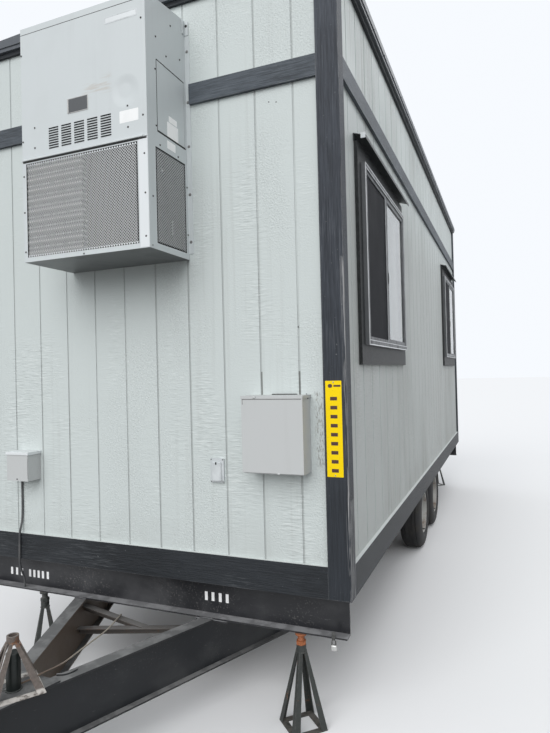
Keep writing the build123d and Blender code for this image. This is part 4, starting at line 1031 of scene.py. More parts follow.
class Palette(dict[str, bpy.types.Material]):
    """Every finish of the cabin, built once and kept by a short name."""

    worn_by: dict[str, str] = {
        "siding": "siding", "planks": "floor_joists floor_deck", "membrane": "roof",
        "edge_metal": "roof_edge",
        "board_upright": "corner_boards door_frame", "board_level": "bottom_bands fascia_boards",
        "board_pale": "mid_bands", "casing": "window_casings", "aluminium": "window_frames",
        "pane": "window_glass", "screen": "window_screens", "cap": "drip_caps", "door": "door",
        "header": "headers", "stand": "jack_stands",
        "stowed": "stowed_stand", "jack": "tongue_jack", "hitch": "hitch_beams hitch_coupler",
        "bars": "hitch_cross_bars", "rope": "hitch_rope", "unit": "unit_cabinet", "sheet": "unit_grille",
        "coil": "unit_coil", "panel": "electrical_panel junction_box", "cover": "outlet_cover",
        "cable": "junction_cable", "wall_panel": "wall ceiling", "rim": "rim", "tyre": "tyre",
    }

    def __init__(self) -> None:
        """Builds the materials."""
        super().__init__({name: finish.build() for name, finish in self.finishes().items()})

    @staticmethod
    def finishes() -> dict[str, object]:
        """Sizes and colours of every finish."""
        front = FRONT_Y - 0.019
        scratched = (
            ((1.182, front, 1.45), (0.003, 0.005, 0.80)),
            ((1.187, front + 0.035, 0.86), (0.004, 0.045, 0.24)),
        )
        # The shell reaches below the cabinet, so its underside counts as deep in and gets the dark painted
        # shade.
        below = 0.0016
        unit_low = (*at(-421, -360, 0)[:2], corners("unit_cabinet")[0][2] - below)
        unit_high = tuple(at(352, 900, 3503))
        return {
            "siding": Siding(),
            # Its faces that look up get a pale painted highlight.
            "board_level": Board(
                "trim_level", (0.022, 0.025, 0.029), (0.19, 0.20, 0.205), top_highlight=(0.74, 0.77, 0.76),
            ),
            # Painted light: darker below 1.0 m, in full colour above 2.3 m.
            "board_upright": Board(
                "trim_upright", (0.050, 0.057, 0.070), grain=(170.0, 170.0, 5.0), edge_reach=0.010,
                edge_share=0.80, scratched=scratched, lower_shade=(1.0, 2.3),
            ),
            "board_pale": Board("trim_weathered", (0.088, 0.102, 0.118)),
            "casing": Board("casing_boards", (0.026, 0.028, 0.029), (0.13, 0.135, 0.135), (60.0, 60.0, 60.0)),
            "edge_metal": SheetPaint("roof_edge_paint", (0.075, 0.085, 0.098), (0.22, 0.22, 0.21), 0.3),
            "membrane": Membrane(),
            "wall_panel": Plain("inner_panel", (0.52, 0.51, 0.48), (0.47, 0.46, 0.43), 0.7),
            "planks": Planks(),
            # Pale painted highlight on the outer border of the frames' faces.
            "aluminium": BareMetal(
                "window_aluminium", (0.100, 0.105, 0.110), 0.42, 0.35, (0.80, 0.81, 0.82),
                corners("window_frames")[1][0] - 0.003,
            ),
            # Pale strips of painted highlight on the window frames.
            "lip": BareMetal("frame_highlight_strip", (0.80, 0.82, 0.83), 0.34, 0.3),
            "pane": Pane(),
            "screen": InsectMesh(),
            "cap": SheetPaint("drip_cap_paint", (0.032, 0.038, 0.040), (0.16, 0.16, 0.155), 0.25),
            "door": SheetPaint("door_paint", (0.552, 0.597, 0.584)),
            "steel": FrameSteel("chassis_paint"),
            "hitch": FrameSteel("hitch_paint", thrown=(0.922, 0.387, 0.0), specked=0.10),
            "bars": FrameSteel("hitch_bar_paint", (0.120, 0.108, 0.098), (0.25, 0.245, 0.24), 0.08, 0.6),
            "header": FrameSteel("header_paint", (0.017, 0.0175, 0.020), (0.27, 0.27, 0.275), roughness=0.30),
            "rim": FrameSteel("rim_enamel", (0.50, 0.50, 0.48), (0.24, 0.21, 0.18), 0.2, 0.45),
            "tyre": Plain("tyre_rubber", (0.020, 0.020, 0.021), (0.045, 0.042, 0.038), 0.75, 260.0, 0.0004),
            "stand": Rusted(
                "stand_paint", (0.022, 0.025, 0.023), 0.06, (0.15, 0.15, 0.145),
                (tuple(at(919, 14, 422)), (0.04, 0.04, 0.027)),
            ),
            "stowed": Rusted(
                "stowed_stand_paint", (0.092, 0.075, 0.065), 0.10, (0.30, 0.27, 0.24), rubbed_to=0.475,
            ),
            "jack": FrameSteel(
                "tongue_jack_paint", (0.013, 0.017, 0.016), (0.11, 0.115, 0.11), roughness=0.32,
            ),
            "rope": RopeFibre(),
            "unit": SheetPaint(
                "unit_enamel", (0.590, 0.628, 0.634), (0.25, 0.26, 0.25), 0.11, 0.40, (unit_low, unit_high),
                (tuple(at(66, -360, 3138)), (0.05, 0.01, 0.014)), (tuple(at(232, -360, 3080)), 0.085),
            ),
            "sheet": SheetPaint("unit_sheet", (0.42, 0.43, 0.43), (0.20, 0.20, 0.19), 0.3, 0.45),
            "coil": Fins(),
            "panel": SheetPaint("enclosure_paint", (0.520, 0.533, 0.530), (0.26, 0.25, 0.22), 0.07, 0.45),
            "cover": Plain("cover_plastic", (0.53, 0.56, 0.57), (0.68, 0.71, 0.72), 0.14, coat=0.7),
            "cable": Plain("cable_jacket", (0.050, 0.052, 0.055), (0.10, 0.10, 0.10), 0.55),
            "zinc": BareMetal("zinc_screw", (0.42, 0.42, 0.41), 0.45),
            "dark_screw": BareMetal("weathered_screw", (0.085, 0.085, 0.082), 0.5, 0.5),
            # Grey metal of the bolts; the same finish draws the dark lines of painted shadow under the
            # panel's hood and the junction box's seam.
            "bolt": BareMetal("bolt_metal_and_painted_shadow", (0.22, 0.22, 0.215), 0.45, 0.6),
            "pale": SheetPaint("pale_strip", (0.74, 0.77, 0.78), (0.40, 0.40, 0.38), 0.3, 0.35),
            # Dark plastic and rubber of small fittings; the same finish draws the dark strips of painted
            # shadow on the unit and the panel.
            "gap": Plain("dark_fitting_and_painted_shadow", (0.016, 0.016, 0.016), (0.030, 0.030, 0.028), 0.8),
            "yellow": Marked("plate_enamel", (0.98, 0.70, 0.004), shine=0.15),
            "dark_mark": Marked("dark_mark", (0.060, 0.022, 0.016), (0.5, 0.38, 0.02), 0.25),
            "white_mark": Marked("white_mark", (0.86, 0.86, 0.86), (0.06, 0.06, 0.06), 0.75),
            "label": Marked("blank_label", (0.90, 0.91, 0.90), (0.45, 0.45, 0.42), 0.3),
            # Whiter than the front labels: painted light that keeps them bright in the side's shade.
            "side_label": Marked("side_label", (1.0, 1.0, 0.99), (0.60, 0.60, 0.57), 0.2),
            "nameplate": BareMetal("nameplate_foil", (0.56, 0.585, 0.595), 0.42, 0.25),
            "badge": SheetPaint("badge_metal", (0.075, 0.080, 0.085), (0.20, 0.20, 0.20), 0.25, 0.35),
            "lock": BareMetal("lock_metal", (0.50, 0.50, 0.485), 0.4, 0.75),
        }

    def dress(self) -> None:
        """Gives every CAD node its material, by its name or by the last word of it."""
        finish_of = {node: finish for finish, nodes in self.worn_by.items() for node in nodes.split()}
        for name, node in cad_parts.items():
            kind = name.split("_")[-1]
            material = self[finish_of.get(name, finish_of.get(kind, "steel"))]
            for place in node.material_slots:
                place.material = material
            LOG.info("%s wears %s", name, material.name)


@dataclass
class Studio:
    """Camera of the photograph, floor, backdrop and soft light.

    Args:
        eye: Camera place in metres.
        yaw: Turn to the left of +Y, in radians.
        pitch: Tilt upwards.
        roll: Turn round the line of sight.
        lens: Focal length for a long side of 36 mm.
        floor_half: Half of the floor's width in metres.
    """

    eye: Triple = (1.8874, -5.0565, 1.720)
    yaw: float = 0.3893
    pitch: float = 0.0100
    roll: float = -0.0244
    lens: float = 27.92
    floor_half: float = 90.0

    def camera(self) -> None:
        """Places the camera from its three angles."""
        flat = math.cos(self.pitch)
        ahead = np.array((-math.sin(self.yaw) * flat, math.cos(self.yaw) * flat, math.sin(self.pitch)))
        level = np.array((math.cos(self.yaw), math.sin(self.yaw), 0.0))
        above = np.cross(level, ahead)
        right = math.cos(self.roll) * level + math.sin(self.roll) * above
        up = -math.sin(self.roll) * level + math.cos(self.roll) * above
        data = bpy.data.cameras.new("photo_camera")
        data.sensor_fit = "VERTICAL"
        data.sensor_height = 36.0
        data.lens = self.lens
        data.clip_start, data.clip_end = 0.05, 300.0
        bpy.context.scene.camera = shown("photo_camera", data, self.eye, [right, up, -ahead])

    def lights(self) -> None:
        """One broad soft sun from straight in front, one wide lamp high on the right and a plain sky."""
        sun = bpy.data.lights.new("soft_sun", "SUN")
        sun.energy = 1.90
        sun.angle = math.radians(55)
        self.aim(sun, (0.0, 0.0, 10.0), (-0.02, 0.80, -0.55))
        wide = bpy.data.lights.new("right_sky", "AREA")
        wide.shape = "RECTANGLE"
        wide.size, wide.size_y = 6.0, 1.6
        wide.energy = 52.0
        self.aim(wide, (2.9, 1.0, 6.0), (-0.45, 0.0, -0.75))
        world = bpy.data.worlds.new("plain_sky")
        bpy.context.scene.world = world
        world.use_nodes = True
        n = Nodes(world.node_tree)
        n.tree.nodes.clear()
        strength = n.blend(n.seen(), 0.84, 1.0)
        sky = n.fed(n.add("Background"), {"Color": (0.93, 0.96, 1.0), "Strength": strength})
        n.feed(n.add("OutputWorld").inputs["Surface"], sky[0])

    @staticmethod
    def aim(data: bpy.types.Light, place: Triple, direction: Triple) -> None:
        """Puts a lamp at a place, shining along a direction."""
        away = -np.array(direction) / np.linalg.norm(direction)
        side = np.cross(UP, away)
        side /= np.linalg.norm(side)
        shown(data.name, data, place, [side, np.cross(away, side), away])

    def floor(self) -> None:
        """Level floor that is pale where it is looked at and dull where it throws light back."""
        s = Shader("floor_paint", 0.9)
        s.set(Base_Color=s.mix(s.seen(), (0.180, 0.175, 0.170), (0.80, 0.80, 0.80)), Specular_IOR_Level=0.0)
        half = self.floor_half
        mesh = bpy.data.meshes.new("studio_floor")
        mesh.from_pydata([(x, y, 0.0) for y in (-half, half) for x in (-half, half)], [], [[0, 1, 3, 2]])
        mesh.materials.append(s.material)
        shown("studio_floor", mesh)

    def build(self) -> None:
        """Sets up the whole studio."""
        bpy.context.scene.view_settings.view_transform = "Standard"
        self.camera()
        self.lights()
        self.floor()


@dataclass
class Assembly:
    """Pieces that belong together, in the finishes of a palette."""

    palette: Palette

    def piece(
        self, name: str, surfaces: Sequence[Surface], finish: str, slot: str, body: str = "cabin",
        stands_for: Optional[str] = None, smooth: bool = False, weld: bool = False,
    ) -> bpy.types.Object:
        """Turns surfaces into one object that rides on a body.

        Args:
            name: Name of the piece.
            surfaces: Surfaces that it is made of.
            finish: Its finish in the palette.
            slot: Material slot of the record that the finish belongs to; not used.
            body: Body that it moves with.
            stands_for: CAD node that it replaces.
            smooth: Shade smooth below an angle of 35 degrees.
            weld: Join points that lie on each other.

        Returns:
            The finished object.
        """
        whole = joined(surfaces)
        mesh = bpy.data.meshes.new(name)
        mesh.from_pydata(whole.points.tolist(), [], [row for group in whole.faces for row in group.tolist()])
        mesh.materials.append(self.palette[finish])
        if weld:
            edit = bmesh.new()
            edit.from_mesh(mesh)
            bmesh.ops.remove_doubles(edit, verts=edit.verts, dist=1e-5)
            edit.to_mesh(mesh)
            edit.free()
        if smooth:
            mesh.shade_smooth()
            mesh.set_sharp_from_angle(angle=math.radians(35))
        mesh.update()
        obj = shown(name, mesh)
        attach(obj, body)
        if stands_for:
            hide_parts(stands_for)
        LOG.info("%s: %d faces", name, len(mesh.polygons))
        return obj

    def plates(self, slot: str, *pieces: tuple[object, ...]) -> None:
        """Makes pieces of upright slabs, each from its name, finish, direction across and rows of sizes."""
        for name, finish, across, *rows in pieces:
            self.piece(name, slabs(across, *rows), finish, slot)


@dataclass
class Rope(Assembly):
    """Slack three-strand rope between the hitch strut and the jack.

    Args:
        route: Control points in mm, the same as the CAD's.
        radius: Radius of the rope in mm.
        lay: Length of one turn of a strand in mm.
        strands: Number of strands.
        sides: Points round the rope.
        rings: Points along the rope.
        valley: Depth of the valleys between strands, as a share of the radius.
    """

    route: tuple[Triple, ...] = (
        (-206.0, 88.0, 351.1), (-190.0, 30.0, 352.1), (-162.0, -46.0, 357.0), (-128.0, -136.0, 368.0),
        (-97.0, -240.0, 383.0), (-70.0, -345.0, 399.0), (-36.0, -462.0, 415.0), (-4.0, -576.0, 431.0),
        (14.0, -662.0, 449.0), (28.0, -735.0, 469.3), (16.0, -797.0, 467.3), (2.2, -835.5, 468.3),
    )
    radius: float = 4.0
    lay: float = 26.0
    strands: int = 3
    sides: int = 24
    rings: int = 460
    valley: float = 0.22

    def line(self) -> Array:
        """Points of the smooth NURBS line whose control points are the route's."""
        curve = bpy.data.curves.new("rope_line", "CURVE")
        curve.dimensions = "3D"
        spline = curve.splines.new("NURBS")
        spline.points.add(len(self.route) - 1)
        for point, place in zip(spline.points, self.route):
            point.co = (*at(*place), 1.0)
        spline.order_u = 3
        spline.use_endpoint_u = True
        spline.resolution_u = 24
        holder = bpy.data.objects.new("rope_line", curve)
        mesh = bpy.data.meshes.new_from_object(holder)
        points = np.array([v.co[:] for v in mesh.vertices])
        bpy.data.meshes.remove(mesh)
        bpy.data.objects.remove(holder)
        bpy.data.curves.remove(curve)
        return points

    def build(self) -> None:
        """Lobed ring carried along the line, turning with its length.

        The radius at an angle is the rope's radius less a share where the cosine of half the strand count
        times the angle from the twist is small, so each strand shows as a winding ridge.
        """
        line = self.line()
        steps = np.linalg.norm(np.diff(line, axis=0), axis=1)
        run = np.concatenate([[0], np.cumsum(steps)])
        even = np.linspace(0, run[-1], self.rings)
        line = np.stack([np.interp(even, run, line[:, i]) for i in range(3)], -1)
        along = np.gradient(line, axis=0)
        along /= np.linalg.norm(along, axis=1, keepdims=True)
        side = np.cross(UP, along)
        side /= np.linalg.norm(side, axis=1, keepdims=True)
        angle = np.linspace(0, 2 * np.pi, self.sides, endpoint=False)[None, :]
        twist = (2 * np.pi * even / (self.lay * MM))[:, None]
        lobe = np.abs(np.cos(0.5 * self.strands * (angle - twist)))
        reach = self.radius * MM * (1 - self.valley * (1 - lobe))[..., None]
        strands = rings_surface(line[:, None] + reach * circle(self.sides, side, np.cross(along, side)))
        rope = self.piece(
            "hitch_rope_strands", [strands], "rope", "rope", stands_for="hitch_rope", smooth=True,
        )


@dataclass
class AirConditioner(Assembly):
    """Perforated grilles, louvre lips, screws, blank badge, plates and lifting brackets of the wall unit.

    Places on the front are pairs of X and Z in mm, places on the side pairs of Y and Z.

    Args:
        front: Front face in mm from the siding.
        left: Left face in mm.
        right: Right face in mm.
        hole_pitch: Distance of holes in one row, in mm.
        hole_radius: Radius of a hole in mm.
        margin: Dark gap between a perforated sheet and its opening, in mm.
        front_opening: Lower left corner, width and height of the front opening in mm.
        side_opening: Y and Z of the lower corner, width and height of each side opening.
        louvres: Lowest left slot's X and Z, then the distance of slots across and up, in mm.
        slots: Number of slots across and up.
        front_screws: Screws in the front face.
        side_screws: Screws in each side face.
        bolt_heights: Heights of the bolts in the wall flanges.
        bracket_x: Middles of the lifting brackets.
    """

    front: float = -360.0
    left: float = -421.0
    right: float = 352.0
    hole_pitch: float = 14.6
    hole_radius: float = 3.9
    margin: float = 4.0
    front_opening: tuple[float, float, float, float] = (-397.0, 2344.0, 691.0, 484.0)
    side_opening: tuple[float, float, float, float] = (-295.0, 2352.0, 270.0, 466.0)
    louvres: tuple[float, float, float, float] = (-211.5, 2883.8, 81.5, 12.5)
    slots: tuple[int, int] = (5, 9)
    front_screws: tuple[tuple[float, float], ...] = (
        (243, 3006), (244, 2904), (-416, 3396), (329, 3406),
        (330, 2946), (-334, 3006), (-335, 2903), (-414, 2946),
        (333, 2764), (334, 2578), (333, 2374), (-412, 2765), (-412, 2578), (-410, 2373), (-34, 2328),
    )
    side_screws: tuple[tuple[float, float], ...] = (
        (-276, 3356), (-141, 3482), (-186, 3304), (-58, 3351), (-285, 3194), (-285, 2920), (-325, 2569),
        (-338, 2333), (-256, 2836), (-93, 2833), (-12, 2700), (-12, 2450),
    )
    bolt_heights: tuple[float, ...] = (3418, 3149, 2916, 2663, 2413)
    bracket_x: tuple[float, float] = (358, -427)

    def perforated(self, corner: Array, across: Array, size: tuple[float, float]) -> Surface:
        """Upright sheet of staggered round holes.

        Each hole has a diamond of sheet round it, as an outer ring of eight points, a ring at the hole's edge
        and a ring 1.2 mm further in. The diamonds fill the plane without gaps, and their points make a
        toothed border.

        Args:
            corner: Lower corner of the sheet.
            across: Direction of the rows.
            size: Width and height in mm.

        Returns:
            The sheet.
        """
        columns = int(size[0] / self.hole_pitch)
        rows = int(2 * size[1] / self.hole_pitch) - 1
        step = size[0] / columns
        rise = size[1] / (rows + 1)
        row, column = np.meshgrid(np.arange(rows), np.arange(columns), indexing="ij")
        x = (column + 0.5 + 0.5 * (row % 2)) * step
        keep = x < size[0] - 0.25 * step
        centers = np.stack([x[keep], (row[keep] + 1) * rise], -1)
        spoke = circle(8, np.eye(2)[0], np.eye(2)[1])
        reach = np.where(np.arange(8) % 2 == 0, 1.0, math.sqrt(0.5))[:, None]
        hole = spoke * self.hole_radius
        rings = np.stack([spoke * reach * np.array([step / 2, rise]), hole, hole])
        plane = centers[:, None, None] + rings[None]
        depth = np.array([0.0, 0.0, -1.2])[None, :, None, None]
        points = corner + MM * (plane[..., :1] * across + plane[..., 1:] * UP + depth * np.cross(across, UP))
        starts = np.arange(len(centers))[:, None, None] * 24
        quads = grid_faces(3, 8, ring_columns=True)[None] + starts
        return Surface(points.reshape(-1, 3), [quads.reshape(-1, 4)])

    def louvre_lips(self) -> Surface:
        """Curved lip along the lower edge of every slot: a quarter circle carried along the slot's width."""
        angle = np.linspace(0, np.pi / 2, 5)
        arc = np.stack([1.0 - 2.8 * np.sin(angle), 0.8 * np.cos(angle) - 2.6], -1)
        profile = np.concatenate([arc, [[-1.8, -3.8], [1.0, -3.4]]])
        points = np.array([[(x, y, z) for y, z in profile] for x in (-31.0, 31.0)]) * MM
        x, z, step, rise = self.louvres
        columns, rows = self.slots
        centers = [
            at(x + step * i, self.front + 1.0, z + rise * j) for i in range(columns) for j in range(rows)
        ]
        return repeated(rings_surface(points), centers, RIGHT, BACK)

    def teeth(self, z: float, sign: int) -> Surface:
        """Row of cut half holes along the front sheet's border, each a thin triangle that points outwards."""
        half = self.hole_pitch * 0.46
        outline = [(-half, 0.0), (half, 0.0), (0.0, 11.0 * sign)][::sign]
        points = np.array([[(x, y, rise) for x, y in outline] for rise in (0.0, 0.8)]) * MM
        left, right = -393, 290
        count = int((right - left) / self.hole_pitch)
        x = np.linspace(left + self.hole_pitch / 2, right - self.hole_pitch / 2, count)
        return repeated(rings_surface(points), [at(place, self.front + 1.4, z) for place in x], RIGHT)

    def grilles(self) -> None:
        """Adds the three perforated sheets, each a little smaller than its opening."""
        gap = self.margin
        x, z, width, height = self.front_opening
        y, low, depth, rise = self.side_opening
        front = (width - 2 * gap, height - 2.5 * gap)
        side = (depth - 2 * gap, rise - 2 * gap)
        sheets = [
            self.perforated(at(x + gap, self.front + 1.2, z + gap), RIGHT, front),
            self.perforated(at(self.right - 1.2, y + gap, low + gap), BACK, side),
            self.perforated(at(self.left + 1.2, y + depth - gap, low + gap), FORE, side),
        ]
        self.piece("unit_grille_sheets", sheets, "sheet", "unit_mesh", stands_for="unit_grille", weld=True)

    def fasteners(self) -> None:
        """Adds the screws of the faces, the bolts of the flanges and a hook bracket on top of each flange."""
        front = [at(x, self.front, z) for x, z in self.front_screws]
        heads = [screw_heads(front, RIGHT, 10.0)]
        for face, across in ((self.right, BACK), (self.left, FORE)):
            heads.append(screw_heads([at(face, y, z) for y, z in self.side_screws], across, 10.0))
        self.piece("unit_screws", heads, "dark_screw", "unit_paint")
        flanges = [at(x, -4, z) for x in (365, -434) for z in self.bolt_heights]
        self.piece("unit_bolts", [screw_heads(flanges, RIGHT, 16.0)], "bolt", "unit_paint")
        rows = [
            row for x in self.bracket_x
            for row in ((x, -4, 3540, 34, 76, 3.0, 4.0, 1.0), (x - 3, -18, 3541, 5, 74, 14.0, 2.0, 1.0))
        ]
        self.plates("unit_paint", ("unit_brackets", "unit", RIGHT, *rows))
        ring = [(7.5, 0), (7.5, 0.4), (4.0, 0.5)]
        holes = [turned(at(x + 6, -7.2, 3552), FORE, ring, 18) for x in self.bracket_x]
        self.piece("unit_bracket_holes", holes, "gap", "unit_paint")

    def signs(self) -> None:
        """Adds the badge with its border and thick left edge, the bare nameplate and the blank labels."""
        face, side = self.front, self.right
        self.plates(
            "unit_paint",
            ("unit_badge_border", "zinc", RIGHT,
             (-52.5, face, 3072.5, 125, 75, 2.4, 3.0, 1.2), (-113.0, face, 3072.5, 8, 73, 5.0, 2.0, 1.5)),
            ("unit_badge", "badge", RIGHT, (-51.0, face - 2.2, 3072.5, 116, 67, 1.0, 2.0, 0.5)),
            ("unit_nameplate", "nameplate", RIGHT, (213, face, 3441, 189, 34, 0.8, 4.0, 0.4)),
            ("unit_labels", "label", RIGHT, (250, face, 2957, 108, 58, 0.3, 3.0, 0.1)),
            ("unit_nameplate_field", "pale", RIGHT, (213, face - 0.8, 3441, 176, 22, 0.2, 3.0, 0.1)),
            ("unit_side_labels", "side_label", BACK,
             (side, -135, 2998, 76, 30, 0.3, 3.0, 0.1), (side, -138, 2942, 102, 74, 0.3, 3.0, 0.1),
             (side, -154, 2864, 76, 40, 0.3, 3.0, 0.1)),
        )

    def strips(self) -> None:
        """Adds the pale column and drip lip, a tag and spot in the side grille, dark strips at the top of the
        front and of painted shadow under the drip lip and in the side hatch's seams, and the grille's teeth.
        """
        face, side = self.front, self.right
        column = (325, face, 2584, 50, 520, 0.5, 1.5, 0.3)
        drip = (-34.5, face - 0.2, 2846, 771, 4, 3.5, 1.2, 1.0)
        tag = (side - 6, -151, 2456, 13, 74, 1.0, 2.0, 0.4)
        spot = turned(at(side - 6, -235, 2721), RIGHT, [(9, 0), (9, 2), (5, 4)], 16)
        pale = [*slabs(RIGHT, column, drip), *slabs(BACK, tag), spot]
        self.piece("unit_pale_strips", pale, "pale", "unit_paint")
        # Dark strips: one at the top of the front, and painted shadow under the drip lip and in the side
        # hatch's seams.
        lid = slabs(
            RIGHT, (-34.5, face, 3502, 772, 2.6, 0.5, 0.8, 0.2),
            (-34.5, face - 0.1, 2838, 764, 9, 0.5, 1.0, 0.2),
        )
        hatch = slabs(
            BACK, (side, -148.5, 3247, 253, 5, 0.3, 1.0, 0.1), (side, -275, 3074, 4, 345, 0.3, 1.0, 0.1),
            (side, -146, 2899, 260, 8, 0.4, 1.0, 0.1),
        )
        self.piece("unit_dark_strips", [*lid, *hatch], "gap", "unit_paint")
        self.piece("unit_grille_teeth", [self.teeth(2817.0, 1), self.teeth(2354.0, -1)], "pale", "unit_mesh")

    def build(self) -> None:
        """Adds the grilles and everything that is fixed to the cabinet."""
        self.grilles()
        self.fasteners()
        self.signs()
        self.strips()
        self.piece("unit_louvre_lips", [self.louvre_lips()], "unit", "unit_paint", smooth=True)


@dataclass
class Markings(Assembly):
    """Yellow plate with plain bars, and plain stencilled bars on the header.

    Args:
        bars: Number of like bars on the plate.
        low: Lower end of the plate in mm.
        high: Upper end.
        middle_x: Middle line of the plate.
        web_y: Face of the header's web, in mm from the siding.
        left: Middles of the stencilled bars on the left.
        right: Middles of those on the right.
    """

    bars: int = 9
    low: float = 1220.0
    high: float = 1673.0
    middle_x: float = 1123.5
    web_y: float = 56.0
    left: tuple[float, ...] = (-1003, -962, -921, -856, -822, -788, -754, -716)
    right: tuple[float, ...] = (373, 413, 456, 497)

    def build(self) -> None:
        """Adds the plate, its bars and the stencil marks."""
        x, top, web = self.middle_x, self.high - 24, self.web_y
        heights = np.linspace(self.high - 84, self.low + 30, self.bars)
        self.plates(
            "panel_paint",
            ("number_plate", "yellow", RIGHT,
             (x, -19, (self.low + self.high) / 2, 79, self.high - self.low, 1.2, 2.5, 0.4)),
            ("number_plate_bars", "dark_mark", RIGHT,
             *((x, -20.2, z, 34, 17, 0.3, 1.5, 0.1) for z in heights),
             (x - 16, -20.2, top, 22, 18, 0.3, 8.5, 0.1), (x + 18, -20.2, top, 34, 9, 0.3, 1.5, 0.1)),
        )
        screws = [at(x, -20.2, z) for z in (self.low + 8, self.high - 7)]
        self.piece("number_plate_screws", [screw_heads(screws, RIGHT, 7.0)], "zinc", "panel_paint")
        left = [(x, web, 527, 17, 44, 0.2, 1.0, 0.1) for x in self.left]
        right = [(x, web, 543, 17, 46, 0.2, 1.0, 0.1) for x in self.right]
        self.plates("frame_steel", ("header_marks", "white_mark", RIGHT, *left, *right))


@dataclass
class Fittings(Assembly):
    """Small fittings of the front wall, the windows, the drip caps and the roof edge.

    Args:
        nails: Nail heads in the front siding, as X and Z in mm.
        edge_pitch: Distance of the screws in the roof edge, in mm.
        half_length: Half of the body's length in metres.
        window_y: Distance in metres of a window's middle from the nearer end wall.
        rail: Length of the pale strip of painted highlight along a rail, in mm.
        stiles: Each pale strip of painted highlight along a stile: distance from a window's middle in metres,
            width in mm, depth in metres.
    """

    nails: tuple[tuple[float, float], ...] = ((823, 3061), (862, 3053), (949, 1938))
    edge_pitch: float = 305.0
    half_length: float = 3.048
    window_y: float = 0.985
    rail: float = 1184.0
    stiles: tuple[Triple, ...] = ((-0.592, 4.0, 0.0), (0.592, 4.0, 0.0), (-0.050, 5.0, 0.006))

    def panel(self) -> None:
        """Latch, hood clip and screws of the electrical panel, dark lines of painted shadow under its hood
        and at its left edge, and a dark strip of painted shadow in the joint of its top and the wall.
        """
        self.plates(
            "panel_paint",
            ("panel_latches", "panel", RIGHT,
             (879, -124, 1241, 12, 6, 3.0, 1.5, 1.0), (761, -124, 1603, 16, 10, 7.0, 2.0, 1.5)),
        )
        heads = [
            screw_heads([at(1000, -112, 1583), at(1000, -112, 1560), at(1000, -36, 1592)], BACK, 8.0),
            screw_heads([at(986, -10, 1609.5)], RIGHT, 9.0, BACK),
            screw_heads([at(-780, -100, 1133)], RIGHT, 9.0),
        ]
        self.piece("panel_screws", heads, "dark_screw", "panel_paint")
        # Painted shadow in the joint of the hood's top and the wall.
        joint_shadow = block(at(806, -14, 1608.6), at(937, -1, 1613.0), 1.5)
        self.piece("panel_joint_shadow", [joint_shadow], "gap", "panel_paint")
        # Dark lines of painted shadow under the hood and along the lid's left edge.
        self.plates(
            "panel_paint",
            ("panel_lid_seam", "bolt", RIGHT,
             (846.5, -124, 1592.5, 303, 4, 0.4, 1.0, 0.1), (697.5, -124, 1580, 3, 24, 0.4, 1.0, 0.1)),
        )

    def outlets(self) -> None:
        """Lid and seam of the junction box, and the clip and screws of the outlet's cover."""
        low, high = corners("junction_box")
        lid_low = np.array((low[0] - 0.003, low[1] - 0.004, high[2] - 0.013))
        lid_high = np.array((high[0] + 0.003, high[1], high[2] + 0.003))
        self.piece("junction_lid", [block(lid_low, lid_high, 1.5)], "pale", "panel_paint")
        edge = np.array((high[0] - 0.004, low[1], (low[2] + high[2]) / 2 - 0.007))
        self.piece("junction_seam", [plate(edge, RIGHT, UP, (2, 118), 0.4, 0.8, 0.1)], "bolt", "panel_paint")
        clip = (491.5, -23.5, 1261, 7, 13, 3.0, 2.0, 1.0)
        self.plates("cover_plastic", ("outlet_clip", "gap", RIGHT, clip))
        covers = [at(x, -12, z) for x in (458.5, 524.5) for z in (1167, 1279)]
        self.piece("outlet_screws", [screw_heads(covers, RIGHT, 6.0)], "dark_screw", "cover_plastic")

    def nails_and_screws(self) -> None:
        """Nails in the front siding and screws along the roof's edge metal on all four sides."""
        head = turned(np.zeros(3), UP, [(3.4, 0), (3.4, 0.5), (2.0, 0.9)], 10)
        nails = repeated(head, [at(x, 0, z) for x, z in self.nails], RIGHT)
        self.piece("siding_nails", [nails], "dark_screw", "siding")
        low, high = corners("roof_edge")
        z = low[2] + 0.022
        sides = [
            (across, [(face, y, z) for y in np.arange(low[1] + 0.15, high[1] - 0.1, self.edge_pitch * MM)])
            for across, face in ((BACK, high[0]), (FORE, low[0]))
        ] + [
            (across, [(x, face, z) for x in np.arange(low[0] + 0.15, high[0] - 0.1, self.edge_pitch * MM)])
            for across, face in ((RIGHT, low[1]), (LEFT, high[1]))
        ]
        rows = [screw_heads(places, across, 8.0) for across, places in sides]
        self.piece("roof_edge_screws", rows, "dark_screw", "roof_metal")

    def windows(self) -> None:
        """Pale strips of painted highlight along each window's rails and stiles, and a latch on the meeting
        stile.
        """
        low, high = corners("window_frames")
        middle_z = (low[2] + high[2]) / 2
        tall = (high[2] - low[2]) / MM - 2
        near = FRONT_Y + self.window_y
        far = 2 * (FRONT_Y + self.half_length) - near
        rails = (
            (high[2] - 0.003, 4.0), (high[2] - 0.025, 3.0), (low[2] + 0.004, 5.0), (low[2] + 0.028, 3.0),
        )
        lips, latches = [], []
        for hand, face, across in ((1, high[0], BACK), (-1, low[0], FORE)):
            for middle in (near, far):
                for z, width in rails:
                    rail = np.array((face, middle, z))
                    lips.append(plate(rail, across, UP, (self.rail, width), 0.5, 1.0, 0.2))
                for aside, width, depth in self.stiles:
                    stile = np.array((face - hand * depth, middle + aside, middle_z))
                    lips.append(plate(stile, across, UP, (width, tall - depth * 6000), 0.5, 1.0, 0.2))
                latch = np.array((face - hand * 0.010, middle, middle_z - 0.05))
                latches.append(plate(latch, across, UP, (16, 70), 6.0, 4.0, 2.0))
        # The pale strips are painted highlights on the frames' edges.
        self.piece("window_highlight_strips", lips, "lip", "window_metal")
        self.piece("window_latches", latches, "gap", "window_metal")

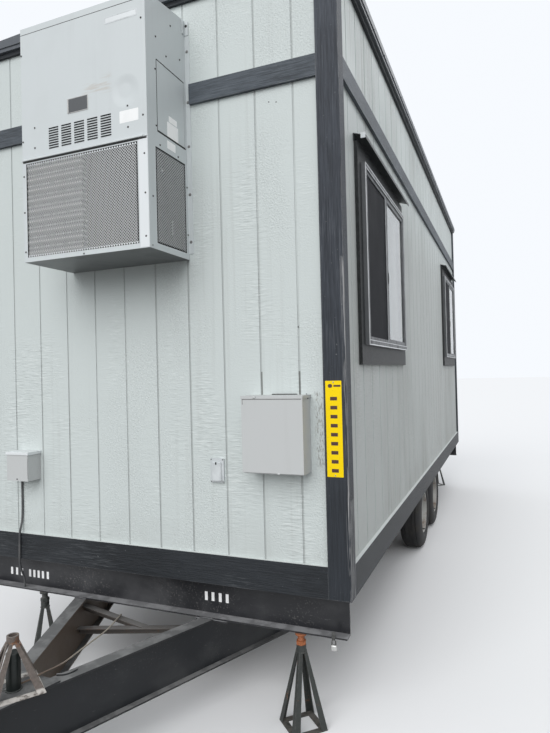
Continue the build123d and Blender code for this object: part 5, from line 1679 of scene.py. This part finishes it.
    def cap_ends(self) -> None:
        """Pale front end of each drip cap."""
        low, high = corners("drip_caps")
        ends = []
        for x in (high[0] - 0.016, low[0] + 0.016):
            end = np.array((x, low[1], high[2] - 0.020))
            ends.append(plate(end, RIGHT, UP, (26, 30), 1.2, 2.0, 0.4))
        self.piece("drip_cap_ends", ends, "pale", "cap_metal")

    def build(self) -> None:
        """Adds all the fittings."""
        self.panel()
        self.outlets()
        self.windows()
        self.cap_ends()
        self.nails_and_screws()


@dataclass
class Stands(Assembly):
    """Threads on the lifting screws and weld rings of the stands and the tongue jack.

    Args:
        places: Middle of each stand in mm.
        stowed: Middle of the tongue jack's foot.
        thread_pitch: Distance of two thread crests in mm.
    """

    places: tuple[tuple[float, float], ...] = ((919, 14), (-700, 14), (860, 6082), (-860, 6082))
    stowed: tuple[float, float] = (-5.0, -864.0)
    thread_pitch: float = 5.0

    def thread(self, x: float, y: float) -> Surface:
        """Zigzag profile between two radii, carried round the screw's axis."""
        steps = np.arange(0, 29.1, self.thread_pitch / 2)
        zigzag = [(16.9 if i % 2 else 15.2, h + 0.3) for i, h in enumerate(steps)]
        return turned(at(x, y, 412.6), UP, [(15.1, 0.0), *zigzag, (15.1, 29.6)])

    @staticmethod
    def ring(x: float, y: float, z: float, radius: float, size: float = 3.0) -> Surface:
        """Weld bead round an upright tube, its size waving along the bead."""
        angle = np.linspace(0, 2 * np.pi, 61)
        path = at(x, y, z) + np.stack([np.cos(angle), np.sin(angle), np.zeros(61)], -1) * radius * MM
        return tube(path, size * (1 + 0.16 * np.sin(angle * 15)), 8)

    def build(self) -> None:
        """Adds the threads and the beads."""
        threads = [self.thread(x, y) for x, y in self.places]
        self.piece("stand_threads", threads, "stand", "stand_steel", smooth=True)
        beads = [self.ring(x, y, 359.0, 24.0) for x, y in self.places]
        self.piece("stand_welds", beads, "stand", "stand_steel", smooth=True)
        weld = self.ring(*self.stowed, 458.5, 29.0, 4.0)
        self.piece("jack_weld", [weld], "jack", "jack_paint", smooth=True)


@dataclass
class Hitch(Assembly):
    """Weld beads where the hitch meets the header, and the padlock hung from the header's right end.

    Args:
        middle_x: Middle line of the hitch in mm.
        half_at_wall: Distance of each beam from it at the front wall.
        flange: Width of a beam's flange.
        lock_x: Middle of the padlock.
        shackle: Radius of the padlock's shackle.
    """

    middle_x: float = -8.0
    half_at_wall: float = 412.0
    flange: float = 70.0
    lock_x: float = 1090.0
    shackle: float = 9.5

    @staticmethod
    def bead(start: Array, end: Array, size: float = 5.0) -> Surface:
        """Weld bead between two points that don't lie along Y, its radius waving with its length."""
        share = np.linspace(0, 1, 34)
        taper = np.sin(np.pi * np.clip(share, 0.04, 0.96)) ** 0.25
        reach = size * taper * (1 + 0.12 * np.sin(share * 60))
        return tube(start + share[:, None] * (end - start), reach, 8, BACK)

    def welds(self) -> None:
        """Beads across each beam's top flange in front of the header, and packing plates at the right one."""
        beads = []
        reach = self.flange / 2 + 6
        for side in (-1, 1):
            x = self.middle_x + side * self.half_at_wall
            beads.append(self.bead(at(x - reach, -2, 451), at(x + reach, -2, 451)))
        packing = block(at(x - 62, -9, 441), at(x - 36, 50, 449.8), 2.0)
        strip = block(at(x + 37, -6, 441), at(x + 118, 50, 449.8), 2.0)
        self.piece("hitch_welds", [*beads, packing, strip], "header", "frame_steel", smooth=True)

    def padlock(self) -> None:
        """Clip through the flange, half-round shackle on two legs, and a rounded body."""
        x, radius = self.lock_x, self.shackle
        turn = np.linspace(0, np.pi, 17)
        arch = np.stack([radius * np.cos(turn), np.zeros(17), radius * np.sin(turn)], -1)
        legs = [[(radius, 0, -16), (radius, 0, -8)], [(-radius, 0, -8), (-radius, 0, -16)]]
        path = at(x, -5, 438) + np.concatenate([legs[0], arch, legs[1]]) * MM
        clip = slabs(RIGHT, (x - 2, 0.5, 464, 17, 36, 3.5, 3.0, 1.2))
        clip += [tube(path, 3.0, 12, BACK), screw_heads([at(x - 2, -3, 468)], RIGHT, 12.0)]
        self.piece("lock_shackle", clip, "dark_screw", "frame_steel", smooth=True)
        body = block(at(x - 15.5, -13, 399), at(x + 15.5, 4, 425), 7.5)
        collar = turned(at(x, -4.5, 399), DOWN, [(6.0, 0), (6.0, 1.2), (4.0, 1.8)], 20)
        self.piece("lock_body", [body, collar], "lock", "frame_steel", smooth=True)

    def hook(self) -> None:
        """Pale ring that hangs at the foot of the tongue jack."""
        angle = np.linspace(0, 2 * np.pi, 41)
        oval = np.stack([0.4 * np.cos(angle), 0.9 * np.cos(angle), 1.3 * np.sin(angle)], -1) * 0.018
        ring = tube(at(-35, -880, 482) + oval, 3.5, 10, RIGHT)
        self.piece("jack_ring", [ring], "lock", "jack_paint", smooth=True)

    def build(self) -> None:
        """Adds the welds, the padlock and the ring."""
        self.welds()
        self.padlock()
        self.hook()


@dataclass
class Tyres(Assembly):
    """Worn ribbed tyres over the CAD tyres, and a valve stem in each rim.

    Args:
        radius: Outer radius in mm.
        bead: Radius at the rim.
        half: Half of the width at the bulge.
        ribs: Places of the tread grooves across the tyre, in mm from its middle.
        around: Steps round the tyre.
        middle_x: Middle of a tyre across the cabin.
        axles: Places of the two axles.
    """

    radius: float = 340.0
    bead: float = 197.0
    half: float = 102.5
    ribs: tuple[float, ...] = (-52.0, -18.0, 18.0, 52.0)
    around: int = 180
    middle_x: float = 1005.5
    axles: tuple[tuple[str, float], ...] = (("front", 3040.0), ("rear", 3890.0))

    def section(self) -> tuple[Array, Array]:
        """Half-width places and radii of the section from one bead to the other.

        A super-ellipse joins bead and tread: across is half times the cosine to the power 0.55, and radius
        rises from the bead by the sine to the power 0.62. Near the bead the section is tucked in.
        """
        turn = np.linspace(0.0, np.pi, 97)
        across = self.half * np.sign(np.cos(turn)) * np.abs(np.cos(turn)) ** 0.55
        rise = self.bead + (self.radius - self.bead) * np.sin(turn) ** 0.62
        tuck = np.clip((self.bead + 34 - rise) / 34, 0, 1)
        return across * (1 - 0.19 * tuck), np.minimum(rise, self.radius)

    def shell(self, center: Array, side: int) -> Surface:
        """Tread by formula: the radius drops at each groove and in short slots along both shoulders."""
        across, radius = self.section()
        angle = np.linspace(0, 2 * np.pi, self.around, endpoint=False)[:, None]
        tread = np.clip((radius - (self.radius - 9)) / 4, 0, 1)[None]
        groove = np.zeros_like(angle * across[None])
        for place in self.ribs:
            wander = place + 1.6 * np.sign(np.sin(angle * 45))
            groove = np.maximum(groove, np.clip(1.6 - np.abs(across[None] - wander) / 2.6, 0, 1))
        slots = np.clip(np.abs(across[None]) - 62, 0, 6) / 6 * (np.sin(angle * 45) > 0.55)
        wear_rings = 0.9 * np.sin((radius[None] - self.bead) * 0.22) ** 8 * (1 - tread)
        reach = radius[None] - 7.5 * tread * np.maximum(groove, 0.75 * slots) + wear_rings
        x = np.broadcast_to(side * across[None], reach.shape)
        points = center + np.stack([x, reach * np.cos(angle) * side, reach * np.sin(angle)], -1) * MM
        faces = grid_faces(self.around, len(across), ring_rows=True)[:, ::-1]
        first = np.arange(self.around) * len(across)
        last = first + len(across) - 1
        closing = np.stack([first, last, np.roll(last, -1), np.roll(first, -1)], -1)
        return Surface(points.reshape(-1, 3), [faces, closing[:, ::-1]])

    def build(self) -> None:
        """Adds the four tyres and their valve stems."""
        stem = [(6.0, 0), (5.0, 6), (4.0, 22), (4.6, 23), (4.6, 31), (3.0, 33)]
        for (end, y), (hand, side) in ((a, s) for a in self.axles for s in (("right", 1), ("left", -1))):
            wheel = f"{end}_{hand}"
            center = at(side * self.middle_x, y, self.radius)
            self.piece(
                wheel + "_tyre_tread", [self.shell(center, side)], "tyre", "tyre", wheel + "_wheel",
                stands_for=wheel + "_tyre", smooth=True,
            )
            valve = turned(center + np.array((side * 62.0, 0.0, -168.0)) * MM, RIGHT * side, stem, 14)
            self.piece(wheel + "_valve", [valve], "gap", "tyre", wheel + "_wheel")


def main() -> None:
    """Builds the studio, then every sub-assembly in order."""
    logging.basicConfig(level=logging.INFO, format="%(name)s: %(message)s")
    Studio().build()
    palette = Palette()
    palette.dress()
    for assembly in (Rope, AirConditioner, Markings, Fittings, Stands, Hitch, Tyres):
        LOG.info("building %s", assembly.__name__)
        assembly(palette).build()


if __name__ == "__main__":
    main()
